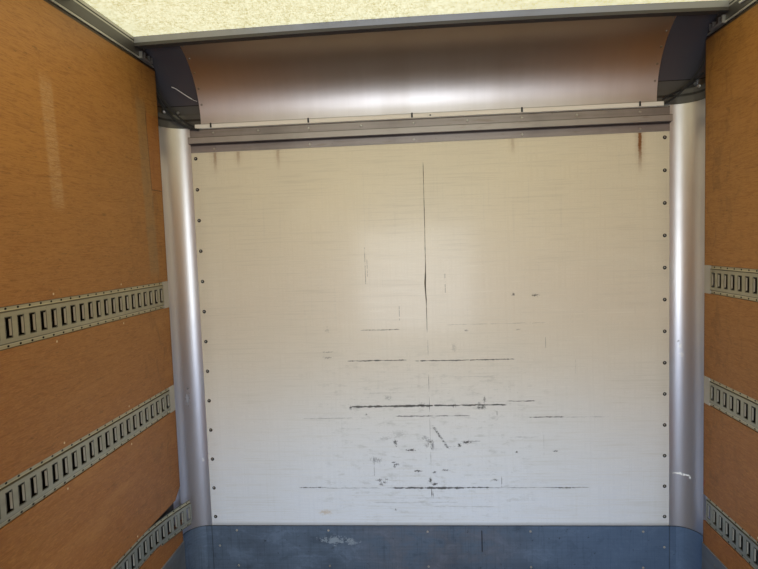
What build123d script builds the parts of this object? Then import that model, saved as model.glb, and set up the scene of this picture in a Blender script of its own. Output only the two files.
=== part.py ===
from build123d import *
import math
import os

# Cargo body of a box truck, in millimetres.
# X points to the right-hand side, Y to the front wall, Z up.
# The origin is the middle of the box that the whole body fills, at the underside of its sills.
os.makedirs("parts", exist_ok=True)

# Overall sizes
BODY_LENGTH = 7925.0
BODY_WIDTH = 2591.0
WALL_DEPTH = 44.5
INSIDE_HEIGHT = 2606.0
ROOF_CROWN = 13.0
PROUD = 6.0
CLEARANCE = 0.3

# Base: two long sills, cross members, floor
SILL_HEIGHT = 102.0
SILL_FLANGE = 44.0
SILL_WALL = 6.0
SILL_SPACING = 864.0
SILL_BOLT_RADIUS = 8.75
SILL_BOLT_SPACING_Y = 150.0
SILL_BOLT_SPACING_Z = 50.0
SILL_STATIONS = (-2900.0, 2900.0)
CROSS_HEIGHT = 76.0
CROSS_FLANGE = 60.0
CROSS_FLANGE_THICKNESS = 6.0
CROSS_WEB = 5.0
CROSS_PITCH = 406.0
FLOOR_THICKNESS = 35.0
BOARD_COUNT = 8
BOARD_GAP = 1.5

# Side walls and their lining
LINING_THICKNESS = 10.0
LINING_FRONT = 97.0
LINING_CAP_GAP = 0.7
LINING_RAIL_GAP = 8.0
LINING_SHEET = 2438.0
WALL_TOP = 2516.0
WALL_SHEET = 1219.0
SHEET_GAP = 2.0
BOTTOM_RAIL_TOP = 80.0
BOTTOM_RAIL_LIP = 34.0
RAIL_DROP = 6.0
SCUFF_HEIGHT = 222.0
SCUFF_THICKNESS = 5.0

# Slotted tie rails, centre heights above the floor from the lowest up
TRACK_HEIGHTS = (393.0, 951.0, 1458.0)
TRACK_WIDTH = 127.0
TRACK_CHANNEL = 97.0
TRACK_FLANGE_DEPTH = 5.0
TRACK_DEPTH = 11.0
TRACK_WALL = 2.7
TRACK_FRONT = 150.0
LOW_TRACK_FRONT = 125.0
TRACK_REAR = 60.0
BENT_END_START = 200.0
BENT_END_LENGTH = 122.0
BENT_END_ANGLE = 9.5
BROKEN_CORNER_WIDTH = 62.0
BROKEN_CORNER_HEIGHT = 48.0

# Front wall, corner posts and kick plates
PANEL_THICKNESS = 4.0
POST_FACE = 114.0
FRONT_THICKNESS = 20.0
POST_LIP = 50.0
POST_BLOCK = 63.0
CORNER_RADIUS = 45.0
FRONT_LIP = 145.5
FRONT_LIP_LAND = 25.0
FRONT_SHEET = 784.0
KICK_HEIGHT = 254.0
KICK_THICKNESS = 5.0
KICK_SHEET = 2.6
KICK_BEHIND = 0.6
KICK_WRAP = 30.0

# Header rail across the top of the front wall
HEADER_HEIGHT = 112.0
HEADER_LOWER_FLANGE = 36.0
HEADER_UPPER_FLANGE = 39.0
HEADER_STRIP_GAP = 4.0
HEADER_DEPTH = 35.0
HEADER_FLANGE = 4.0

# Curved nose between the front wall and the roof
NOSE_AXIS_BACK = 328.0
NOSE_INSET = 57.0
NOSE_STRIP_INSET = 27.0
NOSE_STRIP_HEIGHT = 20.0
NOSE_STRIP_THICKNESS = 3.0
CAP_OVERLAP = 30.0
CAP_SKIRT_HEIGHT = 63.0
CAP_SKIRT_SETBACK = 3.0
CAP_SKIRT_GAP = 2.0

# Roof
ROOF_THICKNESS = 3.0
ROOF_RAIL_BACK = 293.0
ROOF_RAIL_DEPTH = 42.0
ROOF_RAIL_DROP = 40.0
TOP_RAIL_BOTTOM = 2527.0
TOP_RAIL_LEG = 70.0
BOW_HEIGHT = 32.0
BOW_WIDTH = 50.0
BOW_PITCH = 610.0
BOW_WALL = 3.0
FIRST_BOW_BACK = 760.0
RAIL_FLANGE = 36.0
RAIL_END_THICKNESS = 9.0
RAIL_END_TOP = 2592.0
RAIL_END_GAP = 1.0
CLIP_WIDTH = 32.0
CLIP_HEIGHT = 28.0
CLIP_RISE = 3.0
CLIP_WALL = 7.0
CLIP_DEPTH = 14.0
CLIP_BAR_HEIGHT = 9.0
CLIP_BACKS = {"left": (165.0, 235.0), "right": (173.0, 249.0)}

# Rear frame
FRAME_DEPTH = 90.0
REAR_POST_WIDTH = 140.0
REAR_HEADER_BOTTOM = 2440.0
REAR_SILL_WALL = 8.0
REAR_POST_CHAMFER = 18.0
BUMPER_INSET = 285.5
BUMPER_SIZE = (180.0, 70.0, 40.0)
BUMPER_Z = 142.0

# Swing doors, hinged outside the rear corners
DOOR_THICKNESS = 38.0
DOOR_GAP = 6.0
DOOR_MEETING_GAP = 12.0
DOOR_TOP = 2470.0
DOOR_BOTTOM = -20.0
DOOR_EDGE = 60.0
DOOR_RELIEF = 3.0
PIN_OUTSIDE = 12.0
PIN_BEHIND = 30.0
PIN_RADIUS = 6.0
PIN_FIT = 0.05
KNUCKLE_RADIUS = 10.0
KNUCKLE_HEIGHT = 34.0
KNUCKLE_GAP = 1.0
HINGE_HEIGHTS = (180.0, 880.0, 1580.0, 2280.0)
STRAP_LENGTH = 300.0
STRAP_THICKNESS = 6.0
BUTT_LENGTH = 70.0
BUTT_RELIEF = 50.0
ROD_RADIUS = 11.0
ROD_STANDOFF = 3.0
ROD_FROM_EDGE = 170.0
ROD_OVERRUN = 34.0
BEARING_HEIGHTS = (90.0, 620.0, 1240.0, 1860.0, 2380.0)
BEARING_HEIGHT = 44.0
BEARING_WIDTH = 62.0
BEARING_FRONT = 12.0
TONGUE_INSET = 14.0
TONGUE_REACH = 26.0
HANDLE_HEIGHT = 1030.0
HANDLE_LENGTH = 330.0
HANDLE_WIDTH = 30.0
HANDLE_THICKNESS = 10.0
CATCH_INSET = 40.0
KEEPER_GAP = 7.0
KEEPER_EAR = 8.0
KEEPER_HEIGHT = 23.0
KEEPER_REACH = 3.0

# Lamps
LAMP_SIZE = (110.0, 38.0)
LAMP_CORNER = 14.0
LAMP_DEPTH = 18.0
REAR_LAMP_HEIGHT = 2570.0
CORNER_LAMP_INSET = 125.5
MIDDLE_LAMP_PITCH = 230.0
FRONT_LAMP_ANGLE = 38.0

# Wiring loom beside the header rail: x, distance behind the panel, height above the floor
LOOM_DIAMETER = 9.0
LOOM_ROUTE = (
    (1262.0, 92.2, 2500.0),
    (1258.0, 91.8, 2455.0),
    (1243.0, 84.0, 2410.0),
    (1219.0, 72.0, 2368.0),
    (1190.0, 58.0, 2330.0),
    (1160.0, 42.0, 2298.0),
    (1136.0, 24.0, 2277.0),
    (1114.0, 8.0, 2267.0),
)

# Places worked out from the sizes above
half_width = BODY_WIDTH / 2
skin_x = half_width - PROUD
face_x = half_width - WALL_DEPTH
panel_half = face_x - POST_FACE
front_lip_x = half_width - FRONT_LIP
front_wall_x = front_lip_x + FRONT_LIP_LAND
kick_flat_x = panel_half + KICK_WRAP
nose_half = panel_half - NOSE_INSET
rail_flange_x = face_x - RAIL_FLANGE
bumper_x = half_width - BUMPER_INSET
corner_lamp_x = half_width - CORNER_LAMP_INSET
lamp_xs = (-corner_lamp_x, -MIDDLE_LAMP_PITCH, 0.0, MIDDLE_LAMP_PITCH, corner_lamp_x)
lining_back_x = face_x + LINING_THICKNESS
floor_top = SILL_HEIGHT + CROSS_HEIGHT + FLOOR_THICKNESS
hinge_reach = DOOR_GAP + DOOR_THICKNESS + PIN_BEHIND + KNUCKLE_RADIUS
overall_length = BODY_LENGTH + hinge_reach
front_y = overall_length / 2
panel_y = front_y - FRONT_THICKNESS - PROUD
frame_y = front_y - BODY_LENGTH
frame_front_y = frame_y + FRAME_DEPTH
lining_y = panel_y - LINING_FRONT
post_block_y = lining_y - POST_BLOCK
pin_x = half_width + PIN_OUTSIDE
pin_y = frame_y - DOOR_GAP - DOOR_THICKNESS - PIN_BEHIND
nose_y = panel_y - NOSE_AXIS_BACK
nose_outer = NOSE_AXIS_BACK + FRONT_THICKNESS
nose_z = floor_top + INSIDE_HEIGHT + ROOF_THICKNESS - nose_outer
cap_outer = nose_outer + PROUD
post_top_z = nose_z - CLEARANCE
nose_inner_z = floor_top + INSIDE_HEIGHT - NOSE_AXIS_BACK
strip_z = nose_inner_z - NOSE_STRIP_HEIGHT
header_top_z = strip_z - HEADER_STRIP_GAP
header_bottom_z = header_top_z - HEADER_HEIGHT
rail_top = floor_top + INSIDE_HEIGHT + ROOF_THICKNESS + PROUD
crown_radius = (face_x**2 + ROOF_CROWN**2) / (2 * ROOF_CROWN)
roof_rail_y = panel_y - ROOF_RAIL_BACK
rail_front_y = roof_rail_y + ROOF_RAIL_DEPTH


def crown_z(x, height):
    """Height at x of an arc that is `height` above the floor at the lining's faces."""
    drop = crown_radius - math.sqrt(crown_radius**2 - x**2)
    return floor_top + height + ROOF_CROWN - drop


def cap_reach(x):
    """Distance at x from the nose's axis to the nose cap's inside, in its rounded corner."""
    bend = CORNER_RADIUS - PROUD + CLEARANCE
    beyond = max(0.0, x - half_width + CORNER_RADIUS)
    return cap_outer - CORNER_RADIUS + math.sqrt(bend**2 - beyond**2)


def write(piece, node):
    """Labels a finished piece and writes it as its own file."""
    piece.part.label = node
    export_step(piece.part, f"parts/{node}.step")


def write_pair(piece, node, side="right"):
    """Writes a piece made for one side and its mirror image on the other."""
    other = "left" if side == "right" else "right"
    with BuildPart() as mirrored:
        mirror(piece.part, about=Plane.YZ)
    write(piece, f"{node}_{side}")
    write(mirrored, f"{node}_{other}")


def sheet_spans(start, end, width, gap):
    """Start and end of each sheet laid from `start` towards a smaller `end`."""
    spans = []
    while start - end > gap:
        stop = max(start - width, end)
        spans.append((start, stop + (gap if stop > end else 0)))
        start = stop
    return spans


# Long sills: channels that lie on the truck's frame rails
sill_back_x = SILL_SPACING / 2 - SILL_FLANGE / 2
sill_front_y = panel_y + FRONT_THICKNESS - BOTTOM_RAIL_LIP - CLEARANCE
with BuildPart() as long_sill:
    with BuildSketch(Plane.XZ.offset(-sill_front_y)):
        with BuildLine():
            Polyline(
                (sill_back_x, 0),
                (sill_back_x + SILL_FLANGE, 0),
                (sill_back_x + SILL_FLANGE, SILL_WALL),
                (sill_back_x + SILL_WALL, SILL_WALL),
                (sill_back_x + SILL_WALL, SILL_HEIGHT - SILL_WALL),
                (sill_back_x + SILL_FLANGE, SILL_HEIGHT - SILL_WALL),
                (sill_back_x + SILL_FLANGE, SILL_HEIGHT),
                (sill_back_x, SILL_HEIGHT),
                close=True,
            )
        make_face()
    extrude(amount=sill_front_y - frame_front_y)
    for station in SILL_STATIONS:
        with BuildSketch(Plane.YZ.offset(sill_back_x)):
            with Locations((station, SILL_HEIGHT / 2)):
                with GridLocations(SILL_BOLT_SPACING_Y, SILL_BOLT_SPACING_Z, 2, 2):
                    Circle(SILL_BOLT_RADIUS)
        extrude(amount=SILL_WALL, mode=Mode.SUBTRACT)
write_pair(long_sill, "long_sill")

# Cross members: small I-beams from rail to rail
cross_start = frame_front_y + CROSS_FLANGE
cross_span = panel_y - CROSS_FLANGE - cross_start
cross_count = int(cross_span // CROSS_PITCH) + 2
cross_step = cross_span / (cross_count - 1)
cross_middle_y = cross_start + cross_span / 2
with BuildPart() as cross_members:
    with BuildSketch(Plane.YZ.offset(-skin_x)):
        with Locations((cross_middle_y, SILL_HEIGHT + CROSS_HEIGHT / 2)):
            with GridLocations(cross_step, 1, cross_count, 1):
                Rectangle(CROSS_FLANGE, CROSS_HEIGHT)
                cheek = (CROSS_FLANGE - CROSS_WEB) / 2
                with Locations(((CROSS_WEB + cheek) / 2, 0), (-(CROSS_WEB + cheek) / 2, 0)):
                    Rectangle(
                        cheek,
                        CROSS_HEIGHT - 2 * CROSS_FLANGE_THICKNESS,
                        mode=Mode.SUBTRACT,
                    )
    extrude(amount=2 * skin_x)
write(cross_members, "cross_members")

# Floor: long hardwood boards, rounded off inside the front corner posts
floor_length = panel_y + PANEL_THICKNESS - frame_front_y
board_pitch = 2 * skin_x / BOARD_COUNT
with BuildPart() as floor_boards:
    with BuildSketch(Plane.XY.offset(SILL_HEIGHT + CROSS_HEIGHT)):
        with Locations((0, frame_front_y + floor_length / 2)):
            Rectangle(2 * skin_x, floor_length)
            front_corners = vertices().group_by(Axis.Y)[-1]
            fillet(front_corners, radius=CORNER_RADIUS)
            with GridLocations(board_pitch, 1, BOARD_COUNT - 1, 1):
                Rectangle(BOARD_GAP, floor_length, mode=Mode.SUBTRACT)
    extrude(amount=FLOOR_THICKNESS)
write(floor_boards, "floor_boards")

# Bottom rails: angles that carry the cross members' ends and the walls
rail_bottom_z = SILL_HEIGHT - RAIL_DROP
with BuildPart() as bottom_rail:
    with BuildSketch(Plane.XZ.offset(-(panel_y - POST_LIP - LINING_FRONT - POST_BLOCK))):
        with BuildLine():
            Polyline(
                (skin_x - BOTTOM_RAIL_LIP, rail_bottom_z),
                (half_width, rail_bottom_z),
                (half_width, floor_top + BOTTOM_RAIL_TOP),
                (skin_x, floor_top + BOTTOM_RAIL_TOP),
                (skin_x, SILL_HEIGHT),
                (skin_x - BOTTOM_RAIL_LIP, SILL_HEIGHT),
                close=True,
            )
        make_face()
    extrude(amount=post_block_y - POST_LIP - frame_front_y)
write_pair(bottom_rail, "bottom_rail")

# Side walls: one solid for each outer sheet with its posts, as thick as the wall
wall_spans = sheet_spans(post_block_y - CLEARANCE, frame_front_y, WALL_SHEET, SHEET_GAP)
with BuildPart() as side_wall:
    for span_front, span_rear in wall_spans:
        with BuildSketch(Plane.YZ.offset(lining_back_x)):
            with Locations(((span_front + span_rear) / 2, floor_top + WALL_TOP / 2)):
                Rectangle(span_front - span_rear, WALL_TOP)
        extrude(amount=skin_x - lining_back_x)
write_pair(side_wall, "side_wall")

# Plywood lining: four bands between the tie rails, laid in full sheets
lining_spans = sheet_spans(lining_y, frame_front_y, LINING_SHEET, SHEET_GAP)
track_edges = [
    floor_top + height + side * TRACK_WIDTH / 2
    for height in TRACK_HEIGHTS
    for side in (-1, 1)
]
lining_top_z = min(
    nose_z + math.sqrt(cap_reach(lining_back_x) ** 2 - (lining_y - nose_y) ** 2) - LINING_CAP_GAP,
    floor_top + TOP_RAIL_BOTTOM - LINING_RAIL_GAP,
)
band_edges = [floor_top] + track_edges + [lining_top_z]
bands = list(zip(band_edges[0::2], band_edges[1::2]))
for side in ("right", "left"):
    sign = 1 if side == "right" else -1
    with BuildPart() as side_lining:
        for span_front, span_rear in lining_spans:
            with BuildSketch(Plane.YZ.offset(sign * face_x)):
                for low, high in bands:
                    with Locations(((span_front + span_rear) / 2, (low + high) / 2)):
                        Rectangle(span_front - span_rear, high - low)
            extrude(amount=sign * LINING_THICKNESS)
        if side == "left":
            broken_z = bands[1][0]
            with BuildSketch(Plane.YZ.offset(sign * face_x)):
                with BuildLine():
                    Polyline(
                        (lining_y, broken_z),
                        (lining_y, broken_z + BROKEN_CORNER_HEIGHT),
                        (lining_y - BROKEN_CORNER_WIDTH, broken_z),
                        close=True,
                    )
                make_face()
            extrude(amount=sign * LINING_THICKNESS, mode=Mode.SUBTRACT)
    write(side_lining, f"side_lining_{side}")

# Scuff plates along the foot of the lining
with BuildPart() as scuff_plate:
    with BuildSketch(Plane.YZ.offset(face_x)):
        with Locations(((lining_y + frame_front_y) / 2, floor_top + SCUFF_HEIGHT / 2)):
            Rectangle(lining_y - frame_front_y, SCUFF_HEIGHT)
    extrude(amount=-SCUFF_THICKNESS)
    fillet(edges().filter_by(Axis.Y).group_by(Axis.Z)[-1].sort_by(Axis.X)[0], radius=2)
write_pair(scuff_plate, "scuff_plate")


def track_profile(plane):
    """Hat section of a tie rail: x is the depth from its back, y the height."""
    channel = TRACK_CHANNEL / 2
    edge = TRACK_WIDTH / 2
    inner = channel - TRACK_WALL
    with BuildSketch(plane) as profile:
        with BuildLine():
            Polyline(
                (0, -edge),
                (0, -inner),
                (TRACK_DEPTH - TRACK_WALL, -inner),
                (TRACK_DEPTH - TRACK_WALL, inner),
                (0, inner),
                (0, edge),
                (TRACK_FLANGE_DEPTH, edge),
                (TRACK_FLANGE_DEPTH, channel),
                (TRACK_DEPTH, channel),
                (TRACK_DEPTH, -channel),
                (TRACK_FLANGE_DEPTH, -channel),
                (TRACK_FLANGE_DEPTH, -edge),
                close=True,
            )
        make_face()
    return profile.sketch


# Tie rails: three on each side, the left lowest one with its front end bent off the wall
track_rear_y = frame_front_y + TRACK_REAR
for side in ("right", "left"):
    sign = 1 if side == "right" else -1
    with BuildPart() as tie_rails:
        for row, height in enumerate(TRACK_HEIGHTS):
            bent = side == "left" and row == 0
            whole_front = LOW_TRACK_FRONT if row == 0 else TRACK_FRONT
            start_y = panel_y - (BENT_END_START if bent else whole_front)
            rail_plane = Plane(
                origin=(sign * lining_back_x, start_y, floor_top + height),
                x_dir=(-sign, 0, 0),
                z_dir=(0, -sign, 0),
            )
            extrude(track_profile(rail_plane), amount=sign * (start_y - track_rear_y))
            if bent:
                turn = math.radians(BENT_END_ANGLE)
                end_plane = Plane(
                    origin=(sign * lining_back_x, start_y, floor_top + height),
                    x_dir=(-sign * math.cos(turn), -math.sin(turn), 0),
                    z_dir=(math.sin(turn), -sign * math.cos(turn), 0),
                )
                extrude(track_profile(end_plane), amount=-sign * BENT_END_LENGTH)
    write(tie_rails, f"tie_rails_{side}")

# Front wall: three outer sheets with their posts, down to the floor's underside
front_wall_bottom = SILL_HEIGHT + CROSS_HEIGHT
front_wall_top = strip_z - CLEARANCE
front_spans = sheet_spans(front_wall_x - CLEARANCE, CLEARANCE - front_wall_x, FRONT_SHEET, SHEET_GAP)
with BuildPart() as front_wall:
    for right_x, left_x in front_spans:
        with BuildSketch(Plane.XZ.offset(-(panel_y + PANEL_THICKNESS))):
            middle = ((left_x + right_x) / 2, (front_wall_bottom + front_wall_top) / 2)
            with Locations(middle):
                Rectangle(right_x - left_x, front_wall_top - front_wall_bottom)
        extrude(amount=-(FRONT_THICKNESS - PANEL_THICKNESS))
write(front_wall, "front_wall")

# Front bottom rail: cover angle under the front wall
with BuildPart() as front_bottom_rail:
    with BuildSketch(Plane.YZ.offset(-(front_lip_x - CLEARANCE))):
        outer_y = panel_y + FRONT_THICKNESS
        with BuildLine():
            Polyline(
                (outer_y - BOTTOM_RAIL_LIP, rail_bottom_z),
                (outer_y + PROUD, rail_bottom_z),
                (outer_y + PROUD, floor_top + BOTTOM_RAIL_TOP),
                (outer_y, floor_top + BOTTOM_RAIL_TOP),
                (outer_y, SILL_HEIGHT),
                (outer_y - BOTTOM_RAIL_LIP, SILL_HEIGHT),
                close=True,
            )
        make_face()
    extrude(amount=2 * (front_lip_x - CLEARANCE))
write(front_bottom_rail, "front_bottom_rail")

# Front panel: the white sheet that faces the load
with BuildPart() as front_panel:
    with BuildSketch(Plane.XZ.offset(-panel_y)):
        with Locations((0, (floor_top + header_top_z) / 2)):
            Rectangle(2 * panel_half, header_top_z - floor_top)
    extrude(amount=-PANEL_THICKNESS)
write(front_panel, "front_panel")

# Corner posts: extrusions, coved inside and rounded outside
cove_start = (panel_half + CLEARANCE, panel_y)
cove_end = (face_x, lining_y)
cove_middle = (face_x - 30.0, panel_y - 30.0)
cove = ThreePointArc(cove_start, cove_middle, cove_end)


def cove_points(inset):
    """Start, middle and end of the cove moved in by `inset`, from the kick plate's fold."""
    radius = cove.radius - inset
    centre = cove.arc_center
    start = (kick_flat_x, centre.Y + math.sqrt(radius**2 - (kick_flat_x - centre.X) ** 2))
    end = (centre.X + math.sqrt(radius**2 - (lining_y - centre.Y) ** 2), lining_y)
    middle = (centre.X + radius * math.sin(math.pi / 4), centre.Y + radius * math.cos(math.pi / 4))
    return [start, middle, end]


outer_front_y = front_y
with BuildPart() as corner_post:
    with BuildSketch(Plane.XY.offset(floor_top)):
        with BuildLine():
            ThreePointArc(cove_start, cove_middle, cove_end)
            Polyline(
                cove_end,
                (lining_back_x, lining_y),
                (lining_back_x, post_block_y),
                (skin_x, post_block_y),
                (skin_x, post_block_y - POST_LIP),
                (half_width, post_block_y - POST_LIP),
                (half_width, outer_front_y - CORNER_RADIUS),
            )
            RadiusArc(
                (half_width, outer_front_y - CORNER_RADIUS),
                (half_width - CORNER_RADIUS, outer_front_y),
                -CORNER_RADIUS,
            )
            Polyline(
                (half_width - CORNER_RADIUS, outer_front_y),
                (front_lip_x, outer_front_y),
                (front_lip_x, outer_front_y - PROUD),
                (front_wall_x, outer_front_y - PROUD),
                (front_wall_x, panel_y + PANEL_THICKNESS),
                (panel_half + CLEARANCE, panel_y + PANEL_THICKNESS),
                cove_start,
            )
        make_face()
    extrude(amount=post_top_z - floor_top)
    with BuildSketch(Plane.XY.offset(rail_bottom_z)):
        with BuildLine():
            Polyline(
                (skin_x, post_block_y - POST_LIP),
                (half_width, post_block_y - POST_LIP),
                (half_width, outer_front_y - CORNER_RADIUS),
            )
            RadiusArc(
                (half_width, outer_front_y - CORNER_RADIUS),
                (half_width - CORNER_RADIUS, outer_front_y),
                -CORNER_RADIUS,
            )
            Polyline(
                (half_width - CORNER_RADIUS, outer_front_y),
                (front_lip_x, outer_front_y),
                (front_lip_x, outer_front_y - PROUD),
                (half_width - CORNER_RADIUS, outer_front_y - PROUD),
            )
            RadiusArc(
                (half_width - CORNER_RADIUS, outer_front_y - PROUD),
                (skin_x, outer_front_y - CORNER_RADIUS),
                CORNER_RADIUS - PROUD,
            )
            Line((skin_x, outer_front_y - CORNER_RADIUS), (skin_x, post_block_y - POST_LIP))
        make_face()
    extrude(amount=floor_top - rail_bottom_z)
write_pair(corner_post, "corner_post")

# Kick plates: a flat one on the front panel and a folded one in each cove
kick_face_y = panel_y - KICK_THICKNESS
kick_back = cove_points(KICK_BEHIND)
kick_front = cove_points(KICK_BEHIND + KICK_SHEET)
with BuildPart() as kick_plates:
    with BuildSketch(Plane.XZ.offset(-panel_y)):
        with Locations((0, floor_top + KICK_HEIGHT / 2)):
            Rectangle(2 * (panel_half - CLEARANCE), KICK_HEIGHT)
    extrude(amount=KICK_THICKNESS)
    for sign in (-1, 1):
        with BuildSketch(Plane.XY.offset(floor_top)):
            with BuildLine():
                Polyline(
                    (sign * panel_half, kick_face_y + KICK_SHEET),
                    (sign * panel_half, kick_face_y),
                    (sign * kick_flat_x, kick_face_y),
                    (sign * kick_flat_x, kick_front[0][1]),
                )
                ThreePointArc(*[(sign * x, y) for x, y in kick_front])
                Line(
                    (sign * kick_front[2][0], kick_front[2][1]),
                    (sign * kick_back[2][0], kick_back[2][1]),
                )
                ThreePointArc(*[(sign * x, y) for x, y in reversed(kick_back)])
                Polyline(
                    (sign * kick_flat_x, kick_back[0][1]),
                    (sign * kick_flat_x, kick_face_y + KICK_SHEET),
                    (sign * panel_half, kick_face_y + KICK_SHEET),
                )
            make_face()
        extrude(amount=KICK_HEIGHT)
write(kick_plates, "kick_plates")

# Header rail: raised channel between two riveted flanges
with BuildPart() as header_rail:
    with BuildSketch(Plane.YZ.offset(-(panel_half - CLEARANCE))):
        with BuildLine():
            flange_y = panel_y - HEADER_FLANGE
            channel_y = panel_y - HEADER_DEPTH
            channel_bottom = header_bottom_z + HEADER_LOWER_FLANGE
            channel_top = header_top_z - HEADER_UPPER_FLANGE
            Polyline(
                (panel_y, header_bottom_z),
                (flange_y, header_bottom_z),
                (flange_y, channel_bottom),
                (channel_y, channel_bottom + 4),
                (channel_y, channel_top - 4),
                (flange_y, channel_top),
                (flange_y, header_top_z),
                (panel_y, header_top_z),
                (panel_y, channel_top - HEADER_FLANGE),
                (channel_y + HEADER_FLANGE, channel_top - 8),
                (channel_y + HEADER_FLANGE, channel_bottom + 8),
                (panel_y, channel_bottom + HEADER_FLANGE),
                close=True,
            )
        make_face()
    extrude(amount=2 * (panel_half - CLEARANCE))
write(header_rail, "header_rail")

# Nose panel: curved sheet from the front wall up into the roof
nose_end_y = rail_front_y + CLEARANCE
inner_rise = math.sqrt(NOSE_AXIS_BACK**2 - (nose_end_y - nose_y) ** 2)
outer_rise = math.sqrt(nose_outer**2 - (nose_end_y - nose_y) ** 2)
strip_back_y = panel_y - NOSE_STRIP_THICKNESS / 3
with BuildPart() as nose_panel:
    with BuildSketch(Plane.YZ.offset(-nose_half)):
        with BuildLine():
            Polyline(
                (strip_back_y, nose_inner_z),
                (strip_back_y, strip_z),
                (panel_y + FRONT_THICKNESS, strip_z),
                (panel_y + FRONT_THICKNESS, nose_z),
            )
            RadiusArc(
                (panel_y + FRONT_THICKNESS, nose_z),
                (nose_end_y, nose_z + outer_rise),
                -nose_outer,
            )
            Line((nose_end_y, nose_z + outer_rise), (nose_end_y, nose_inner_z + inner_rise))
            RadiusArc(
                (nose_end_y, nose_inner_z + inner_rise),
                (panel_y, nose_inner_z),
                NOSE_AXIS_BACK,
            )
            Line((panel_y, nose_inner_z), (strip_back_y, nose_inner_z))
        make_face()
    extrude(amount=2 * nose_half)
    with BuildSketch(Plane.XZ.offset(-strip_back_y)):
        with Locations((0, (strip_z + nose_inner_z) / 2)):
            Rectangle(2 * (panel_half - NOSE_STRIP_INSET), nose_inner_z - strip_z)
    extrude(amount=NOSE_STRIP_THICKNESS)
write(nose_panel, "nose_panel")

# Nose caps: moulded corners, turned round the nose's axis, with a skirt above the post
cap_inner = nose_outer + CLEARANCE
skirt_points = [
    (panel_half, panel_y + CAP_SKIRT_SETBACK),
    (cove_middle[0] + CAP_SKIRT_SETBACK, cove_middle[1] + CAP_SKIRT_SETBACK),
    (face_x - CLEARANCE, lining_y + CAP_SKIRT_SETBACK),
]
lip_end = post_block_y - POST_LIP - nose_y
with BuildPart() as nose_cap:
    with BuildSketch(Plane((0, nose_y, nose_z), x_dir=(1, 0, 0), z_dir=(0, 0, 1))):
        with BuildLine():
            Polyline(
                (nose_half - CAP_OVERLAP, cap_inner),
                (nose_half - CAP_OVERLAP, cap_outer),
                (half_width - CORNER_RADIUS, cap_outer),
            )
            RadiusArc(
                (half_width - CORNER_RADIUS, cap_outer),
                (half_width, cap_outer - CORNER_RADIUS),
                CORNER_RADIUS,
            )
            Polyline(
                (half_width, cap_outer - CORNER_RADIUS),
                (half_width, lip_end),
                (skin_x + CLEARANCE, lip_end),
                (skin_x + CLEARANCE, cap_outer - CORNER_RADIUS),
            )
            RadiusArc(
                (skin_x + CLEARANCE, cap_outer - CORNER_RADIUS),
                (half_width - CORNER_RADIUS, cap_inner),
                -(CORNER_RADIUS - PROUD + CLEARANCE),
            )
            Line((half_width - CORNER_RADIUS, cap_inner), (nose_half - CAP_OVERLAP, cap_inner))
        make_face()
    revolve(axis=Axis((0, nose_y, nose_z), (1, 0, 0)), revolution_arc=90)
    split(bisect_by=Plane.XZ.offset(-nose_end_y), keep=Keep.BOTTOM)
    with BuildSketch(Plane.XY.offset(post_top_z + CAP_SKIRT_GAP)):
        with BuildLine():
            ThreePointArc(*skirt_points)
            Polyline(
                skirt_points[2],
                (skin_x - PROUD, skirt_points[2][1]),
                (skin_x - PROUD, panel_y + FRONT_THICKNESS / 2),
                (nose_half + CLEARANCE, panel_y + FRONT_THICKNESS / 2),
                (nose_half + CLEARANCE, skirt_points[0][1]),
                skirt_points[0],
            )
        make_face()
    extrude(amount=CAP_SKIRT_HEIGHT)
write_pair(nose_cap, "nose_cap")


def crown_band(y, low, high, half_span=face_x - CLEARANCE):
    """Upright band at y that follows the roof's crown between two heights."""
    ends = (-half_span, 0, half_span)
    with BuildSketch(Plane.XZ.offset(-y)) as band:
        with BuildLine():
            ThreePointArc(*[(x, crown_z(x, low)) for x in ends])
            Line((half_span, crown_z(half_span, low)), (half_span, crown_z(half_span, high)))
            ThreePointArc(*[(x, crown_z(x, high)) for x in reversed(ends)])
            Line((-half_span, crown_z(half_span, high)), (-half_span, crown_z(half_span, low)))
        make_face()
    return band.sketch


# Roof front rail: crowned beam where the nose meets the roof sheet
roof_top_height = INSIDE_HEIGHT + ROOF_THICKNESS
with BuildPart() as roof_front_rail:
    rail_band = crown_band(rail_front_y, INSIDE_HEIGHT - ROOF_RAIL_DROP, roof_top_height)
    extrude(rail_band, amount=ROOF_RAIL_DEPTH)
write(roof_front_rail, "roof_front_rail")

# Roof sheet: one translucent sheet with a slight crown
with BuildPart() as roof_sheet:
    extrude(
        crown_band(roof_rail_y, INSIDE_HEIGHT, roof_top_height),
        amount=roof_rail_y - frame_front_y,
    )
write(roof_sheet, "roof_sheet")

# Roof bows: crowned channels under the sheet
bow_span = panel_y - FIRST_BOW_BACK - frame_front_y
bow_count = int(bow_span // BOW_PITCH) + 1
with BuildPart() as roof_bows:
    for bow in range(bow_count):
        bow_y = panel_y - FIRST_BOW_BACK - bow * BOW_PITCH
        extrude(crown_band(bow_y, INSIDE_HEIGHT - BOW_WALL, INSIDE_HEIGHT), amount=BOW_WIDTH)
        for web_y in (bow_y, bow_y - BOW_WIDTH + BOW_WALL):
            web = crown_band(web_y, INSIDE_HEIGHT - BOW_HEIGHT, INSIDE_HEIGHT)
            extrude(web, amount=BOW_WALL)
write(roof_bows, "roof_bows")

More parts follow.
